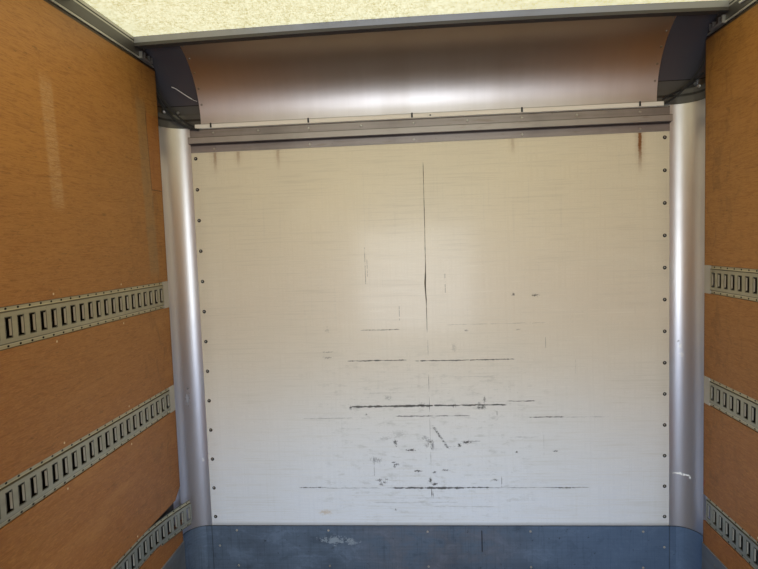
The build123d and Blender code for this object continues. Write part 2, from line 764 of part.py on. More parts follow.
# Top rails: rounded extrusions that carry the roof, with a straight end that runs on under the cap
rail_flange_z = crown_z(rail_flange_x, roof_top_height) + CLEARANCE
rail_bottom = floor_top + TOP_RAIL_BOTTOM
leg_bottom = floor_top + WALL_TOP - TOP_RAIL_LEG
with BuildPart() as top_rail:
    with BuildSketch(Plane.XZ.offset(-rail_front_y)):
        with BuildLine():
            Line((half_width, leg_bottom), (half_width, rail_top - CORNER_RADIUS))
            RadiusArc(
                (half_width, rail_top - CORNER_RADIUS),
                (half_width - CORNER_RADIUS, rail_top),
                -CORNER_RADIUS,
            )
            Polyline(
                (half_width - CORNER_RADIUS, rail_top),
                (rail_flange_x, rail_top),
                (rail_flange_x, rail_flange_z),
                (face_x, rail_flange_z),
                (face_x, rail_bottom),
                (skin_x, rail_bottom),
                (skin_x, leg_bottom),
                (half_width, leg_bottom),
            )
        make_face()
    extrude(amount=rail_front_y - frame_front_y)
    with BuildSketch(Plane.YZ.offset(face_x)):
        with Locations((nose_y, nose_z)):
            Circle(cap_reach(face_x + RAIL_END_THICKNESS) - RAIL_END_GAP)
        end_top = floor_top + RAIL_END_TOP
        with Locations(((rail_front_y + panel_y) / 2, (rail_bottom + end_top) / 2)):
            Rectangle(panel_y - rail_front_y, end_top - rail_bottom, mode=Mode.INTERSECT)
    extrude(amount=RAIL_END_THICKNESS)
write_pair(top_rail, "top_rail")

# Clips: two open cups on a bar near the front end of each top rail
for side, backs in CLIP_BACKS.items():
    sign = 1 if side == "right" else -1
    with BuildPart() as rail_clips:
        with BuildSketch(Plane.YZ.offset(sign * face_x)):
            bar_front = panel_y - backs[0]
            bar_rear = panel_y - backs[1] - CLIP_WIDTH / 2
            with Locations(((bar_front + bar_rear) / 2, rail_bottom + CLIP_BAR_HEIGHT / 2)):
                Rectangle(bar_front - bar_rear, CLIP_BAR_HEIGHT)
            for back in backs:
                with Locations((panel_y - back, rail_bottom + CLIP_RISE + CLIP_HEIGHT / 2)):
                    Rectangle(CLIP_WIDTH, CLIP_HEIGHT)
                    with Locations((0, CLIP_WALL)):
                        Rectangle(CLIP_WIDTH - 2 * CLIP_WALL, CLIP_HEIGHT, mode=Mode.SUBTRACT)
        extrude(amount=-sign * CLIP_DEPTH)
    write(rail_clips, f"rail_clips_{side}")

# Rear frame: sill, posts and header around the doorway
with BuildPart() as rear_sill:
    with BuildSketch(Plane.YZ.offset(-half_width)):
        with BuildLine():
            Polyline(
                (frame_y, rail_bottom_z),
                (frame_front_y, rail_bottom_z),
                (frame_front_y, rail_bottom_z + REAR_SILL_WALL),
                (frame_y + REAR_SILL_WALL, rail_bottom_z + REAR_SILL_WALL),
                (frame_y + REAR_SILL_WALL, floor_top - REAR_SILL_WALL),
                (frame_front_y, floor_top - REAR_SILL_WALL),
                (frame_front_y, floor_top),
                (frame_y, floor_top),
                close=True,
            )
        make_face()
    extrude(amount=2 * half_width)
write(rear_sill, "rear_sill")

with BuildPart() as rear_post:
    with BuildSketch(Plane.XY.offset(floor_top)):
        with Locations((half_width - REAR_POST_WIDTH / 2, frame_y + FRAME_DEPTH / 2)):
            Rectangle(REAR_POST_WIDTH, FRAME_DEPTH)
            inner_front = vertices().group_by(Axis.Y)[-1].sort_by(Axis.X)[0]
            chamfer(inner_front, REAR_POST_CHAMFER)
    extrude(amount=REAR_HEADER_BOTTOM)
write_pair(rear_post, "rear_post")

header_z = floor_top + REAR_HEADER_BOTTOM
with BuildPart() as rear_header:
    with BuildSketch(Plane.XZ.offset(-frame_front_y)):
        with Locations((0, (header_z + rail_top) / 2)):
            Rectangle(2 * half_width, rail_top - header_z)
            fillet(vertices().group_by(Axis.Y)[-1], radius=CORNER_RADIUS)
    extrude(amount=FRAME_DEPTH)
write(rear_header, "rear_header")

with BuildPart() as dock_bumpers:
    with BuildSketch(Plane.XZ.offset(-frame_y)):
        with Locations((-bumper_x, BUMPER_Z), (bumper_x, BUMPER_Z)):
            RectangleRounded(BUMPER_SIZE[0], BUMPER_SIZE[1], 12)
    extrude(amount=BUMPER_SIZE[2])
write(dock_bumpers, "dock_bumpers")


def left_door_plane(z):
    """Plane across the opened left door: x from its hinge pin, y from the wall outwards."""
    return Plane(origin=(-pin_x, pin_y, z), x_dir=(0, 1, 0), z_dir=(0, 0, 1))


# Swing doors, drawn open against the side walls
door_hinge_edge = pin_x - skin_x
door_free_edge = pin_x - DOOR_MEETING_GAP / 2
door_width = door_free_edge - door_hinge_edge
door_middle = (door_hinge_edge + door_free_edge) / 2
door_bottom_z = floor_top + DOOR_BOTTOM
door_top_z = floor_top + DOOR_TOP
with BuildPart() as rear_door:
    with BuildSketch(left_door_plane(door_bottom_z)):
        with Locations((door_middle, PIN_BEHIND + DOOR_THICKNESS / 2)):
            Rectangle(door_width, DOOR_THICKNESS)
    extrude(amount=door_top_z - door_bottom_z)
    with BuildSketch(left_door_plane(door_bottom_z + DOOR_EDGE)):
        relief_depths = (
            PIN_BEHIND + DOOR_RELIEF / 2,
            PIN_BEHIND + DOOR_THICKNESS - DOOR_RELIEF / 2,
        )
        with Locations(*[(door_middle, depth) for depth in relief_depths]):
            Rectangle(door_width - 2 * DOOR_EDGE, DOOR_RELIEF)
    extrude(amount=door_top_z - door_bottom_z - 2 * DOOR_EDGE, mode=Mode.SUBTRACT)
write_pair(rear_door, "rear_door", "left")

# Hinge straps on the doors and butts on the rear posts, with the pins in the butts
knuckle_step = KNUCKLE_HEIGHT + KNUCKLE_GAP
with BuildPart() as hinge_straps:
    for height in HINGE_HEIGHTS:
        with BuildSketch(left_door_plane(floor_top + height - KNUCKLE_HEIGHT / 2)):
            Circle(KNUCKLE_RADIUS)
            with Locations((KNUCKLE_RADIUS / 4, PIN_BEHIND / 2)):
                Rectangle(1.5 * KNUCKLE_RADIUS, PIN_BEHIND)
            with Locations((STRAP_LENGTH / 2, PIN_BEHIND - STRAP_THICKNESS / 2)):
                Rectangle(STRAP_LENGTH, STRAP_THICKNESS)
            Circle(PIN_RADIUS + PIN_FIT, mode=Mode.SUBTRACT)
        extrude(amount=KNUCKLE_HEIGHT)
write_pair(hinge_straps, "hinge_straps", "left")

with BuildPart() as hinge_butts:
    for height in HINGE_HEIGHTS:
        low_z = floor_top + height - KNUCKLE_HEIGHT / 2 - knuckle_step
        full_height = 2 * knuckle_step + KNUCKLE_HEIGHT
        leaf_rear = pin_y + BUTT_RELIEF
        leaf_front = frame_y + BUTT_LENGTH
        with BuildSketch(Plane.XY.offset(low_z)):
            with Locations((-half_width - PROUD / 2, (leaf_rear + leaf_front) / 2)):
                Rectangle(PROUD, leaf_front - leaf_rear)
            with Locations((-pin_x, pin_y)):
                Circle(PIN_RADIUS)
        extrude(amount=full_height)
        for knuckle_z in (low_z, low_z + 2 * knuckle_step):
            with BuildSketch(Plane.XY.offset(knuckle_z)):
                with Locations((-pin_x, pin_y)):
                    Circle(KNUCKLE_RADIUS)
                with Locations((-half_width - PROUD / 2, (pin_y + leaf_rear) / 2)):
                    Rectangle(PROUD, leaf_rear - pin_y)
            extrude(amount=KNUCKLE_HEIGHT)
write_pair(hinge_butts, "hinge_butts", "left")

# Lock rods: one up each door near its free edge, with bearings, cam tongues and a handle
rod_along = door_free_edge - ROD_FROM_EDGE
rod_depth = PIN_BEHIND - ROD_STANDOFF - ROD_RADIUS
relief_face = PIN_BEHIND + DOOR_RELIEF
rod_bottom_z = door_bottom_z - ROD_OVERRUN
rod_length = door_top_z - door_bottom_z + 2 * ROD_OVERRUN
with BuildPart() as lock_rod:
    with BuildSketch(left_door_plane(rod_bottom_z)):
        with Locations((rod_along, rod_depth)):
            Circle(ROD_RADIUS)
    extrude(amount=rod_length)
    for height in BEARING_HEIGHTS:
        with BuildSketch(left_door_plane(floor_top + height - BEARING_HEIGHT / 2)):
            with Locations((rod_along, (relief_face + BEARING_FRONT) / 2)):
                Rectangle(BEARING_WIDTH, relief_face - BEARING_FRONT)
                fillet(vertices().group_by(Axis.Y)[0], radius=8)
        extrude(amount=BEARING_HEIGHT)
    for tongue_z in (rod_bottom_z + TONGUE_INSET, rod_bottom_z + rod_length - TONGUE_INSET):
        with BuildSketch(left_door_plane(tongue_z - TONGUE_INSET / 2)):
            with Locations((rod_along, rod_depth + TONGUE_REACH / 2)):
                Rectangle(ROD_RADIUS, TONGUE_REACH)
        extrude(amount=TONGUE_INSET)
    with BuildSketch(left_door_plane(floor_top + HANDLE_HEIGHT - HANDLE_WIDTH / 2)):
        with Locations((rod_along - HANDLE_LENGTH / 2, rod_depth)):
            Rectangle(HANDLE_LENGTH, HANDLE_THICKNESS)
        with Locations((rod_along - HANDLE_LENGTH + CATCH_INSET, (rod_depth + relief_face) / 2)):
            Rectangle(HANDLE_WIDTH, relief_face - rod_depth)
    extrude(amount=HANDLE_WIDTH)
write_pair(lock_rod, "lock_rod", "left")

# Keepers: pairs of ears on the header and the sill, either side of each rod's end
keeper_x = pin_x - rod_along
keeper_depth = frame_y - (pin_y + rod_depth - ROD_RADIUS - KEEPER_REACH)
ear_offset = ROD_RADIUS + KEEPER_GAP + KEEPER_EAR / 2
with BuildPart() as keepers:
    for keeper_z in (rod_bottom_z, rod_bottom_z + rod_length - KEEPER_HEIGHT):
        with BuildSketch(Plane.XZ.offset(-frame_y)):
            for rod_x in (-keeper_x, keeper_x):
                with Locations((rod_x, keeper_z + KEEPER_HEIGHT / 2)):
                    with GridLocations(2 * ear_offset, 1, 2, 1):
                        Rectangle(KEEPER_EAR, KEEPER_HEIGHT)
        extrude(amount=keeper_depth)
write(keepers, "keepers")

# Marker lamps: a row on the rear header and one on the nose
with BuildPart() as rear_lamps:
    with BuildSketch(Plane.XZ.offset(-frame_y)):
        with Locations(*[(x, floor_top + REAR_LAMP_HEIGHT) for x in lamp_xs]):
            RectangleRounded(LAMP_SIZE[0], LAMP_SIZE[1], LAMP_CORNER)
    extrude(amount=LAMP_DEPTH)
write(rear_lamps, "rear_lamps")

lamp_turn = math.radians(FRONT_LAMP_ANGLE)
with BuildPart() as front_lamps:
    for x in lamp_xs:
        seat = cap_outer if abs(x) > nose_half - CAP_OVERLAP else nose_outer
        lamp_plane = Plane(
            origin=(x, nose_y + seat * math.cos(lamp_turn), nose_z + seat * math.sin(lamp_turn)),
            x_dir=(1, 0, 0),
            z_dir=(0, math.cos(lamp_turn), math.sin(lamp_turn)),
        )
        with BuildSketch(lamp_plane):
            RectangleRounded(LAMP_SIZE[0], LAMP_SIZE[1], LAMP_CORNER)
        extrude(amount=LAMP_DEPTH)
write(front_lamps, "front_lamps")

# Wiring loom: straight runs joined by tangent arcs, each as large as its runs allow
loom_points = [Vector(x, panel_y - back, floor_top + height) for x, back, height in LOOM_ROUTE]
loom_radii = []
for before, corner, after in zip(loom_points, loom_points[1:], loom_points[2:]):
    half_turn = math.radians((corner - before).get_angle(after - corner)) / 2
    shorter = min((corner - before).length, (after - corner).length)
    loom_radii.append(0.45 * shorter / math.tan(half_turn))
print("loom radii", [round(radius) for radius in loom_radii])
with BuildPart() as wiring_loom:
    with BuildLine():
        loom_path = FilletPolyline(*loom_points, radius=loom_radii)
    with BuildSketch(Plane(origin=loom_points[0], z_dir=loom_points[1] - loom_points[0])):
        Circle(LOOM_DIAMETER / 2)
    sweep()
loom_volume = math.pi * LOOM_DIAMETER**2 / 4 * loom_path.length
print("loom volume", round(wiring_loom.part.volume), "section times length", round(loom_volume))
write_pair(wiring_loom, "wiring_loom")
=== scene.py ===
import math

import bmesh
import bpy
import numpy as np
from mathutils import Matrix, Vector


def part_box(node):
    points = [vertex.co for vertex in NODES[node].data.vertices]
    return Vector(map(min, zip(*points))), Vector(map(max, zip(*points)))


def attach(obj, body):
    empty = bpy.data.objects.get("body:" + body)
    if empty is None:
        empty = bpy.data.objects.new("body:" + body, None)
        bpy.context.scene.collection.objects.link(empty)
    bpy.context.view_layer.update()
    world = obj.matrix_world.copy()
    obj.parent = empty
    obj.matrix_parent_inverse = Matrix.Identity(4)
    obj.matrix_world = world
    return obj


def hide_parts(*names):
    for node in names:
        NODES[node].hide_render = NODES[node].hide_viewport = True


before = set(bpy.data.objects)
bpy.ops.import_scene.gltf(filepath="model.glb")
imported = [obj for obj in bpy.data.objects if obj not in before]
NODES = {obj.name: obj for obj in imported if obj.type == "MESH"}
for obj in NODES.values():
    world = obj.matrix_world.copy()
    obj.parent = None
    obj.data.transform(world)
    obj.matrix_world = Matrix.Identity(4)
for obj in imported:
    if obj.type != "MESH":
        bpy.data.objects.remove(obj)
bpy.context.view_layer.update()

bl_info = {
    "name": "Truck cargo body looks",
    "version": (1, 0, 0),
    "blender": (4, 5, 0),
    "location": "3D View > Sidebar > Cargo body",
    "description": "Finishes, slots, fasteners, wear, light and camera for a box truck's cargo body",
    "category": "Object",
}

CARGO = "cargo_body"
SIDES = {"left": -1, "right": 1}

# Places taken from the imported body, in metres
LINING_LOW, LINING_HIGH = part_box("side_lining_left")
FACE_X, WALL_X = -LINING_HIGH.x, -LINING_LOW.x
HALF_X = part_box("top_rail_right")[1].x
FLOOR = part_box("floor_boards")[1].z
PANEL_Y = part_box("front_panel")[0].y
TOP_RAIL_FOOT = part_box("top_rail_left")[0].z

# Tie rails: the heights of their middles, their rear end, and how far short of the front panel they start
RAIL_HEIGHTS = (0.606, 1.164, 1.671)
RAIL_REAR = -3.7705
RAIL_GAP, LOW_RAIL_GAP, BENT_RAIL_GAP = 0.150, 0.125, 0.078
# Their folded steel: half heights of the edge and of the channel, depths of flange and channel, thickness, slope
RAIL_EDGE, RAIL_CHANNEL = 0.0635, 0.0485
RAIL_SHALLOW, RAIL_DEEP, RAIL_STEEL, RAIL_SLOPE = 0.005, 0.011, 0.0022, 0.002
# The lips of their slots: run, thickness, how far behind the rail's face root and tip lie, how short of the ends
LIP_RUN, LIP_STEEL, LIP_ROOT, LIP_TIP, LIP_SHORT = 0.0062, 0.0014, 0.0006, 0.0044, 0.005
# The left lowest rail's damaged front end: how far it comes off the wall and droops, and from where
BENT_PUSH, BENT_DROOP = 0.046, 0.034
BENT_PUSH_FROM, BENT_DROOP_FROM, BENT_END = 0.46, 0.50, 0.06

# The nose's radius, its axis over the floor, and the roof's fall towards its sides by the square of the distance
NOSE_RADIUS, NOSE_AXIS = 0.328, 2.278
ROOF_FALL = 0.0083
# Rivets of the outer walls: heights over the floor of the bottom rails' row and of the skin's lowest, and pitches
FOOT_RIVETS, WALL_RIVETS, WALL_RIVET_PITCH, FOOT_RIVET_PITCH = 0.055, 0.16, 0.15, 0.1
# How far a head is sunk into its sheet, and the height of the outer rivets' heads
SUNK = 0.0002
OUTER_HEAD = 0.0026


def tint(code):
    """Linear colour of an ordinary six-digit colour code."""
    parts = [int(code[i : i + 2], 16) / 255 for i in (0, 2, 4)]
    return tuple(p / 12.92 if p <= 0.04045 else ((p + 0.055) / 1.055) ** 2.4 for p in parts)


def color_property(name, description, code):
    return bpy.props.FloatVectorProperty(
        name=name, description=description, subtype="COLOR", size=3, min=0, max=1, default=tint(code)
    )


def length_property(name, description, default):
    return bpy.props.FloatProperty(
        name=name, description=description, subtype="DISTANCE", unit="LENGTH", min=0, default=default
    )


def strength_property(name, description, default, unit="NONE"):
    return bpy.props.FloatProperty(name=name, description=description, unit=unit, min=0, default=default)


class CargoColors(bpy.types.PropertyGroup):
    """Colours of the body's finishes."""

    plywood: color_property("Plywood", "Varnished tropical plywood of the side walls", "9c6b35")
    panel: color_property("Front panel", "Cream-white enamel of the front panel", "d8d3c6")
    outside: color_property("Outside", "White gel coat of the outer walls and doors", "e4e6e4")
    aluminium: color_property("Aluminium", "Mill-finished rails, posts and nose sheet", "c9c6c0")
    track: color_property("Tie rails", "Zinc plated steel of the slotted tie rails", "aaa68f")
    kick: color_property("Kick plates", "Scuffed steel at the foot of the front wall", "69798f")
    cap: color_property("Nose caps", "Moulded charcoal plastic of the nose's corners", "4c4a50")
    roof: color_property("Roof", "Translucent glass fibre of the roof sheet", "dfddc8")
    floor: color_property("Floor", "Laminated hardwood floor boards", "5e5145")
    chassis: color_property("Underframe", "Black paint of the sills and cross members", "26272a")
    rear_lens: color_property("Rear lenses", "Red lamp lenses", "b01414")
    front_lens: color_property("Front lenses", "Amber lamp lenses", "e08212")


class CargoSizes(bpy.types.PropertyGroup):
    """Sizes of the details that the scene adds."""

    slot_pitch: length_property("Slot pitch", "Distance between the slots of a tie rail", 0.0538)
    slot_height: length_property("Slot height", "Height of a slot", 0.060)
    slot_width: length_property("Slot width", "Width of a slot between its folded lips", 0.027)
    rivet: length_property("Rivet radius", "Radius of a rivet's head", 0.0058)
    outer_rivet: length_property("Outer rivet radius", "Radius of the outer walls' rivets", 0.0065)
    rivet_pitch: length_property("Rivet pitch", "Distance between the front panel's rivets", 0.1512)


class CargoLight(bpy.types.PropertyGroup):
    """Strengths of the light, and the camera's lens."""

    world: strength_property("Sky", "Strength of the even sky light", 0.6)
    roof_glow: strength_property("Roof glow", "Daylight through the roof sheet", 0.9)
    overhead: strength_property("Overhead lamp", "Warm light under the roof", 46, "POWER")
    doorway: strength_property("Doorway lamp", "Cool daylight at the doorway", 78, "POWER")
    low_fill: strength_property("Low fill", "Cool light on the lower front wall", 16.5, "POWER")
    lens: bpy.props.FloatProperty(name="Lens", description="Focal length on a 36 mm wide sensor", min=1, default=27.707)


def join(tree, value, socket):
    """Links a socket to a value that is another node's output, or sets it to a plain one."""
    if isinstance(value, Value):
        value = value.socket
    if isinstance(value, bpy.types.NodeSocket):
        tree.links.new(value, socket)
    else:
        socket.default_value = value


def add_node(tree, kind, settings=None, inputs=None):
    """One node of a tree: its settings first, then its sockets' values or links."""
    made = tree.nodes.new(kind)
    for name, value in (settings or {}).items():
        setattr(made, name, value)
    for key, value in (inputs or {}).items():
        join(tree, value, made.inputs[key])
    return made


def worked(operation, turned=False):
    """A method that joins a value and a term in one Math node; turned, the term comes first."""

    def method(self, term):
        return self.math(operation, *((term, self) if turned else (self, term)))

    return method


class Value:
    """A shader node's output that can stand in ordinary arithmetic."""

    def __init__(self, finish, socket):
        self.finish = finish
        self.socket = socket

    def math(self, operation, *terms):
        """A Math node on these terms."""
        return self.finish.node("ShaderNodeMath", {"operation": operation}, dict(enumerate(terms)))

    def other(self, index):
        """Another output of the same node."""
        return Value(self.finish, self.socket.node.outputs[index])

    def __abs__(self):
        return self.math("ABSOLUTE", self)

    __add__ = __radd__ = worked("ADD")
    __mul__ = __rmul__ = worked("MULTIPLY")
    __sub__, __rsub__ = worked("SUBTRACT"), worked("SUBTRACT", True)
    __truediv__, __rtruediv__ = worked("DIVIDE"), worked("DIVIDE", True)
    __mod__, __rmod__ = worked("FLOORED_MODULO"), worked("FLOORED_MODULO", True)
    __pow__, __rpow__ = worked("POWER"), worked("POWER", True)


class Finish:
    """A material on object coordinates, built node by node, with heights over the floor."""

    def __init__(self, name, color, roughness, metallic=0.0, **constants):
        self.material = bpy.data.materials.new(name)
        self.material.use_nodes = True
        self.tree = self.material.node_tree
        self.shader = self.tree.nodes["Principled BSDF"]
        self.set(**{"Base Color": (*color, 1.0), "Roughness": roughness, "Metallic": metallic}, **constants)
        self.base = self.tone = color
        self.place = self.node("ShaderNodeTexCoord", output=3)
        self.x = self.node("ShaderNodeSeparateXYZ", inputs={0: self.place})
        self.y, self.z = self.x.other(1), self.x.other(2)

    def node(self, kind, settings=None, inputs=None, output=0):
        """One node's output; its settings come first, then its sockets' values or links."""
        return Value(self, add_node(self.tree, kind, settings, inputs).outputs[output])

    def set(self, **sockets):
        """Values or links of the shader's sockets; an underscore stands for a space."""
        for name, value in sockets.items():
            join(self.tree, value, self.shader.inputs[name.replace("_", " ")])

    def shade(self, *factors):
        """The finish's own colour times one factor, or times one for each of its parts."""
        return tuple(min(1.0, part * factor) for part, factor in zip(self.base, factors * 3))

    def noise(self, scale, detail=3.0, roughness=0.5, distortion=0.0, shift=(0, 0, 0)):
        """Cloudy noise; its scale is one number, or one along each axis."""
        scale = scale if isinstance(scale, tuple) else (scale,) * 3
        where = self.node("ShaderNodeVectorMath", {"operation": "MULTIPLY_ADD"}, {0: self.place, 1: scale, 2: shift})
        return self.node(
            "ShaderNodeTexNoise",
            inputs={"Vector": where, "Scale": 1.0, "Detail": detail, "Roughness": roughness, "Distortion": distortion},
        )

    def smooth(self, value, low, high, start=0.0, end=1.0):
        """Soft step of a value from low to high."""
        return self.node(
            "ShaderNodeMapRange",
            {"interpolation_type": "SMOOTHSTEP"},
            {"Value": value, "From Min": low, "From Max": high, "To Min": start, "To Max": end},
        )

    def band(self, value, centre, half, soft):
        """1 where the value is within half of the centre, fading over soft."""
        return self.smooth(abs(value - centre), half, half + soft, 1.0, 0.0)

    def line(self, value, centre, half):
        """A soft thin line where the value is at the centre."""
        return self.band(value, centre, half * 0.4, half)

    def rise(self, low, high):
        """Soft step between two heights over the floor."""
        return self.smooth(self.z, FLOOR + low, FLOOR + high)

    def level(self, height, half):
        """Thin level line at a height over the floor."""
        return self.line(self.z, FLOOR + height, half)

    def belt(self, height, half, soft):
        """Level band at a height over the floor."""
        return self.band(self.z, FLOOR + height, half, soft)

    def blot(self, x, height, half_x, half_z, ragged):
        """An oval blot across the body, whose edge follows a noise."""
        across = (self.x - x) / half_x
        up = (self.z - (FLOOR + height)) / half_z
        reach = (across * across + up * up) ** 0.5 + (ragged - 0.5) * 5.5
        return self.smooth(reach, 1.25, 0.35)

    def spot(self, x, height, half_x, half_z, soft, wobble=0.0):
        """A soft-edged patch on an upright face across the body."""
        across = self.band(self.x + wobble, x, half_x, soft)
        return across * self.band(self.z + wobble, FLOOR + height, half_z, soft)

    def mix(self, factor, first, second):
        """The second colour over the first, by a factor."""
        sides = {key: c if isinstance(c, Value) else (*c, 1.0) for key, c in ((6, first), (7, second))}
        return self.node("ShaderNodeMix", {"data_type": "RGBA"}, {0: factor, **sides}, output=2)

    def lay(self, mask, color):
        """Lays a colour over the finish, as far as the mask says."""
        self.tone = self.mix(mask, self.tone, color)
        self.set(Base_Color=self.tone)

    def wash(self, value, low, high, strength, color):
        """Lays a colour up to a strength, as a value goes from low to high."""
        self.lay(self.smooth(value, low, high) * strength, color)

    def bump(self, height, strength, distance):
        relief = {"Height": height, "Strength": strength, "Distance": distance}
        self.set(Normal=self.node("ShaderNodeBump", inputs=relief))


def plywood_finish(name, color):
    """Varnished plywood: fine wavy grain, smears of glue, and a torn veneer joint near the left front edge."""
    wood = Finish(name, color, 0.5)
    grain = wood.noise((12, 8, 92), 6, 0.75, 2.0)
    fibre = wood.noise((70, 34, 260), 4, 0.75, 1.0, shift=(3, 7, 1))
    fleck = wood.smooth(wood.noise((30, 18, 130), 5, 0.75, 0.8, shift=(6, 1, 2)), 0.57, 0.68)
    cloud = wood.noise((1.6, 0.8, 1.3), 3, 0.5, shift=(2, 5, 9))
    pale = wood.noise((5, 1.1, 7), 4, 0.55, 0.6, shift=(8, 1, 4))
    # Painted light: lighter and more golden towards the roof, darker and redder towards the floor
    wood.tone = wood.mix(wood.rise(0.3, 2.45), wood.shade(0.74, 0.60, 0.66), wood.shade(1.20, 1.30, 1.10))
    wood.wash(cloud, 0.35, 0.7, 0.35, wood.shade(0.66))
    wood.wash(grain, 0.47, 0.60, 0.55, wood.shade(0.62, 0.50, 0.42))
    wood.wash(fibre, 0.48, 0.62, 0.38, wood.shade(1.40, 1.5, 1.7))
    wood.lay(fleck * 0.50, wood.shade(0.30))
    wood.wash(pale, 0.56, 0.75, 0.28, wood.shade(1.4, 1.55, 1.9))
    stain = wood.smooth(wood.noise((9, 7, 11), 4, 0.6, 0.4, shift=(1, 3, 3)), 0.66, 0.74)
    wood.lay(stain * 0.4, wood.shade(0.3))
    front = LINING_HIGH.y
    smear = wood.smooth(wood.noise((3, 16, 9), 5, 0.65, 0.8, shift=(9, 4, 1)), 0.50, 0.64)
    wood.lay(smear * wood.smooth(wood.y, front - 0.55, front - 0.05) * 0.35, wood.shade(0.36))
    left = wood.smooth(wood.x, 0.1, -0.1)
    glue = wood.band(wood.y + wood.z * 0.06, PANEL_Y - 0.805 + FLOOR * 0.06, 0.022, 0.02) * wood.belt(2.04, 0.18, 0.06)
    wood.lay(glue * left * 0.20 * (0.4 + wood.smooth(fibre, 0.4, 0.6)), (0.62, 0.47, 0.28))
    joint = wood.y - (PANEL_Y - 0.228) - (FLOOR + 2.296 - wood.z) * 0.063 + (cloud - 0.5) * 0.02
    torn = wood.belt(2.12, 0.17, 0.01)
    worn = wood.band(joint, -0.042, 0.034, 0.02) * wood.belt(1.95, 0.36, 0.06)
    wood.lay(worn * left * 0.34, (0.24, 0.19, 0.10))
    wood.lay(wood.smooth(joint, 0.0, 0.004) * torn * left * 0.35, wood.shade(1.15, 0.80, 0.6))
    crack = wood.line(joint, 0.0, 0.0026) * torn
    crack = crack + wood.level(1.950, 0.0022) * wood.smooth(joint, -0.004, 0.002)
    wood.lay(wood.smooth(crack * left, 0.0, 1.0) * 0.75, (0.05, 0.025, 0.01))
    # Painted shade along the lining's front edge, where it meets the corner post
    wood.lay(wood.smooth(wood.y, front - 0.006, front - 0.001) * 0.8, wood.shade(0.18))
    # Painted shadow along the lining's top edge, under the top rail
    wood.lay(wood.rise(2.508, 2.513) * 0.9, (0.008, 0.006, 0.005))
    red_mark = wood.line(wood.y + wood.z * 0.5, 4.235, 0.004) * wood.band(wood.z, 0.715, 0.02, 0.02)
    wood.lay(red_mark * wood.smooth(wood.x, 0.0, 0.1) * 0.8, (0.25, 0.02, 0.02))
    wood.set(Roughness=0.44 + grain * 0.22)
    wood.bump(grain * 0.5 + fibre * 0.5, 0.35, 0.0012)
    return wood


# Scuffs on the front panel: x from, x to, height over the floor, half height, strength
SCUFFS = (
    (-0.331, -0.145, 1.245, 0.0022, 0.75), (0.090, 0.560, 1.262, 0.0014, 0.4),
    (-0.401, -0.115, 1.093, 0.0026, 0.85), (-0.066, 0.408, 1.087, 0.0026, 0.8), (-0.390, 0.056, 0.862, 0.0044, 1.0),
    (-0.300, 0.050, 0.865, 0.0034, 0.9), (0.040, 0.366, 0.863, 0.0036, 0.95), (0.371, 0.501, 0.880, 0.0022, 0.9),
    (-0.640, -0.390, 0.806, 0.0018, 0.4), (-0.173, 0.190, 0.811, 0.0030, 0.6), (0.480, 0.640, 0.799, 0.0026, 0.95),
    (0.620, 0.860, 0.797, 0.0016, 0.4), (-0.671, -0.540, 0.450, 0.0030, 0.75),
    (-0.560, -0.180, 0.447, 0.0022, 0.45), (-0.190, 0.270, 0.447, 0.0042, 1.0), (-0.060, 0.120, 0.445, 0.0040, 0.9),
    (0.260, 0.760, 0.446, 0.0022, 0.5), (0.600, 0.700, 0.444, 0.0030, 0.6), (-0.300, 0.120, 0.372, 0.0024, 0.3),
    (0.000, 0.300, 0.350, 0.0024, 0.3), (-0.200, 0.100, 0.395, 0.0018, 0.3), (0.100, 0.310, 1.005, 0.0016, 0.3),
    (0.380, 0.520, 0.700, 0.0018, 0.35), (-0.340, -0.140, 0.930, 0.0016, 0.3),
)
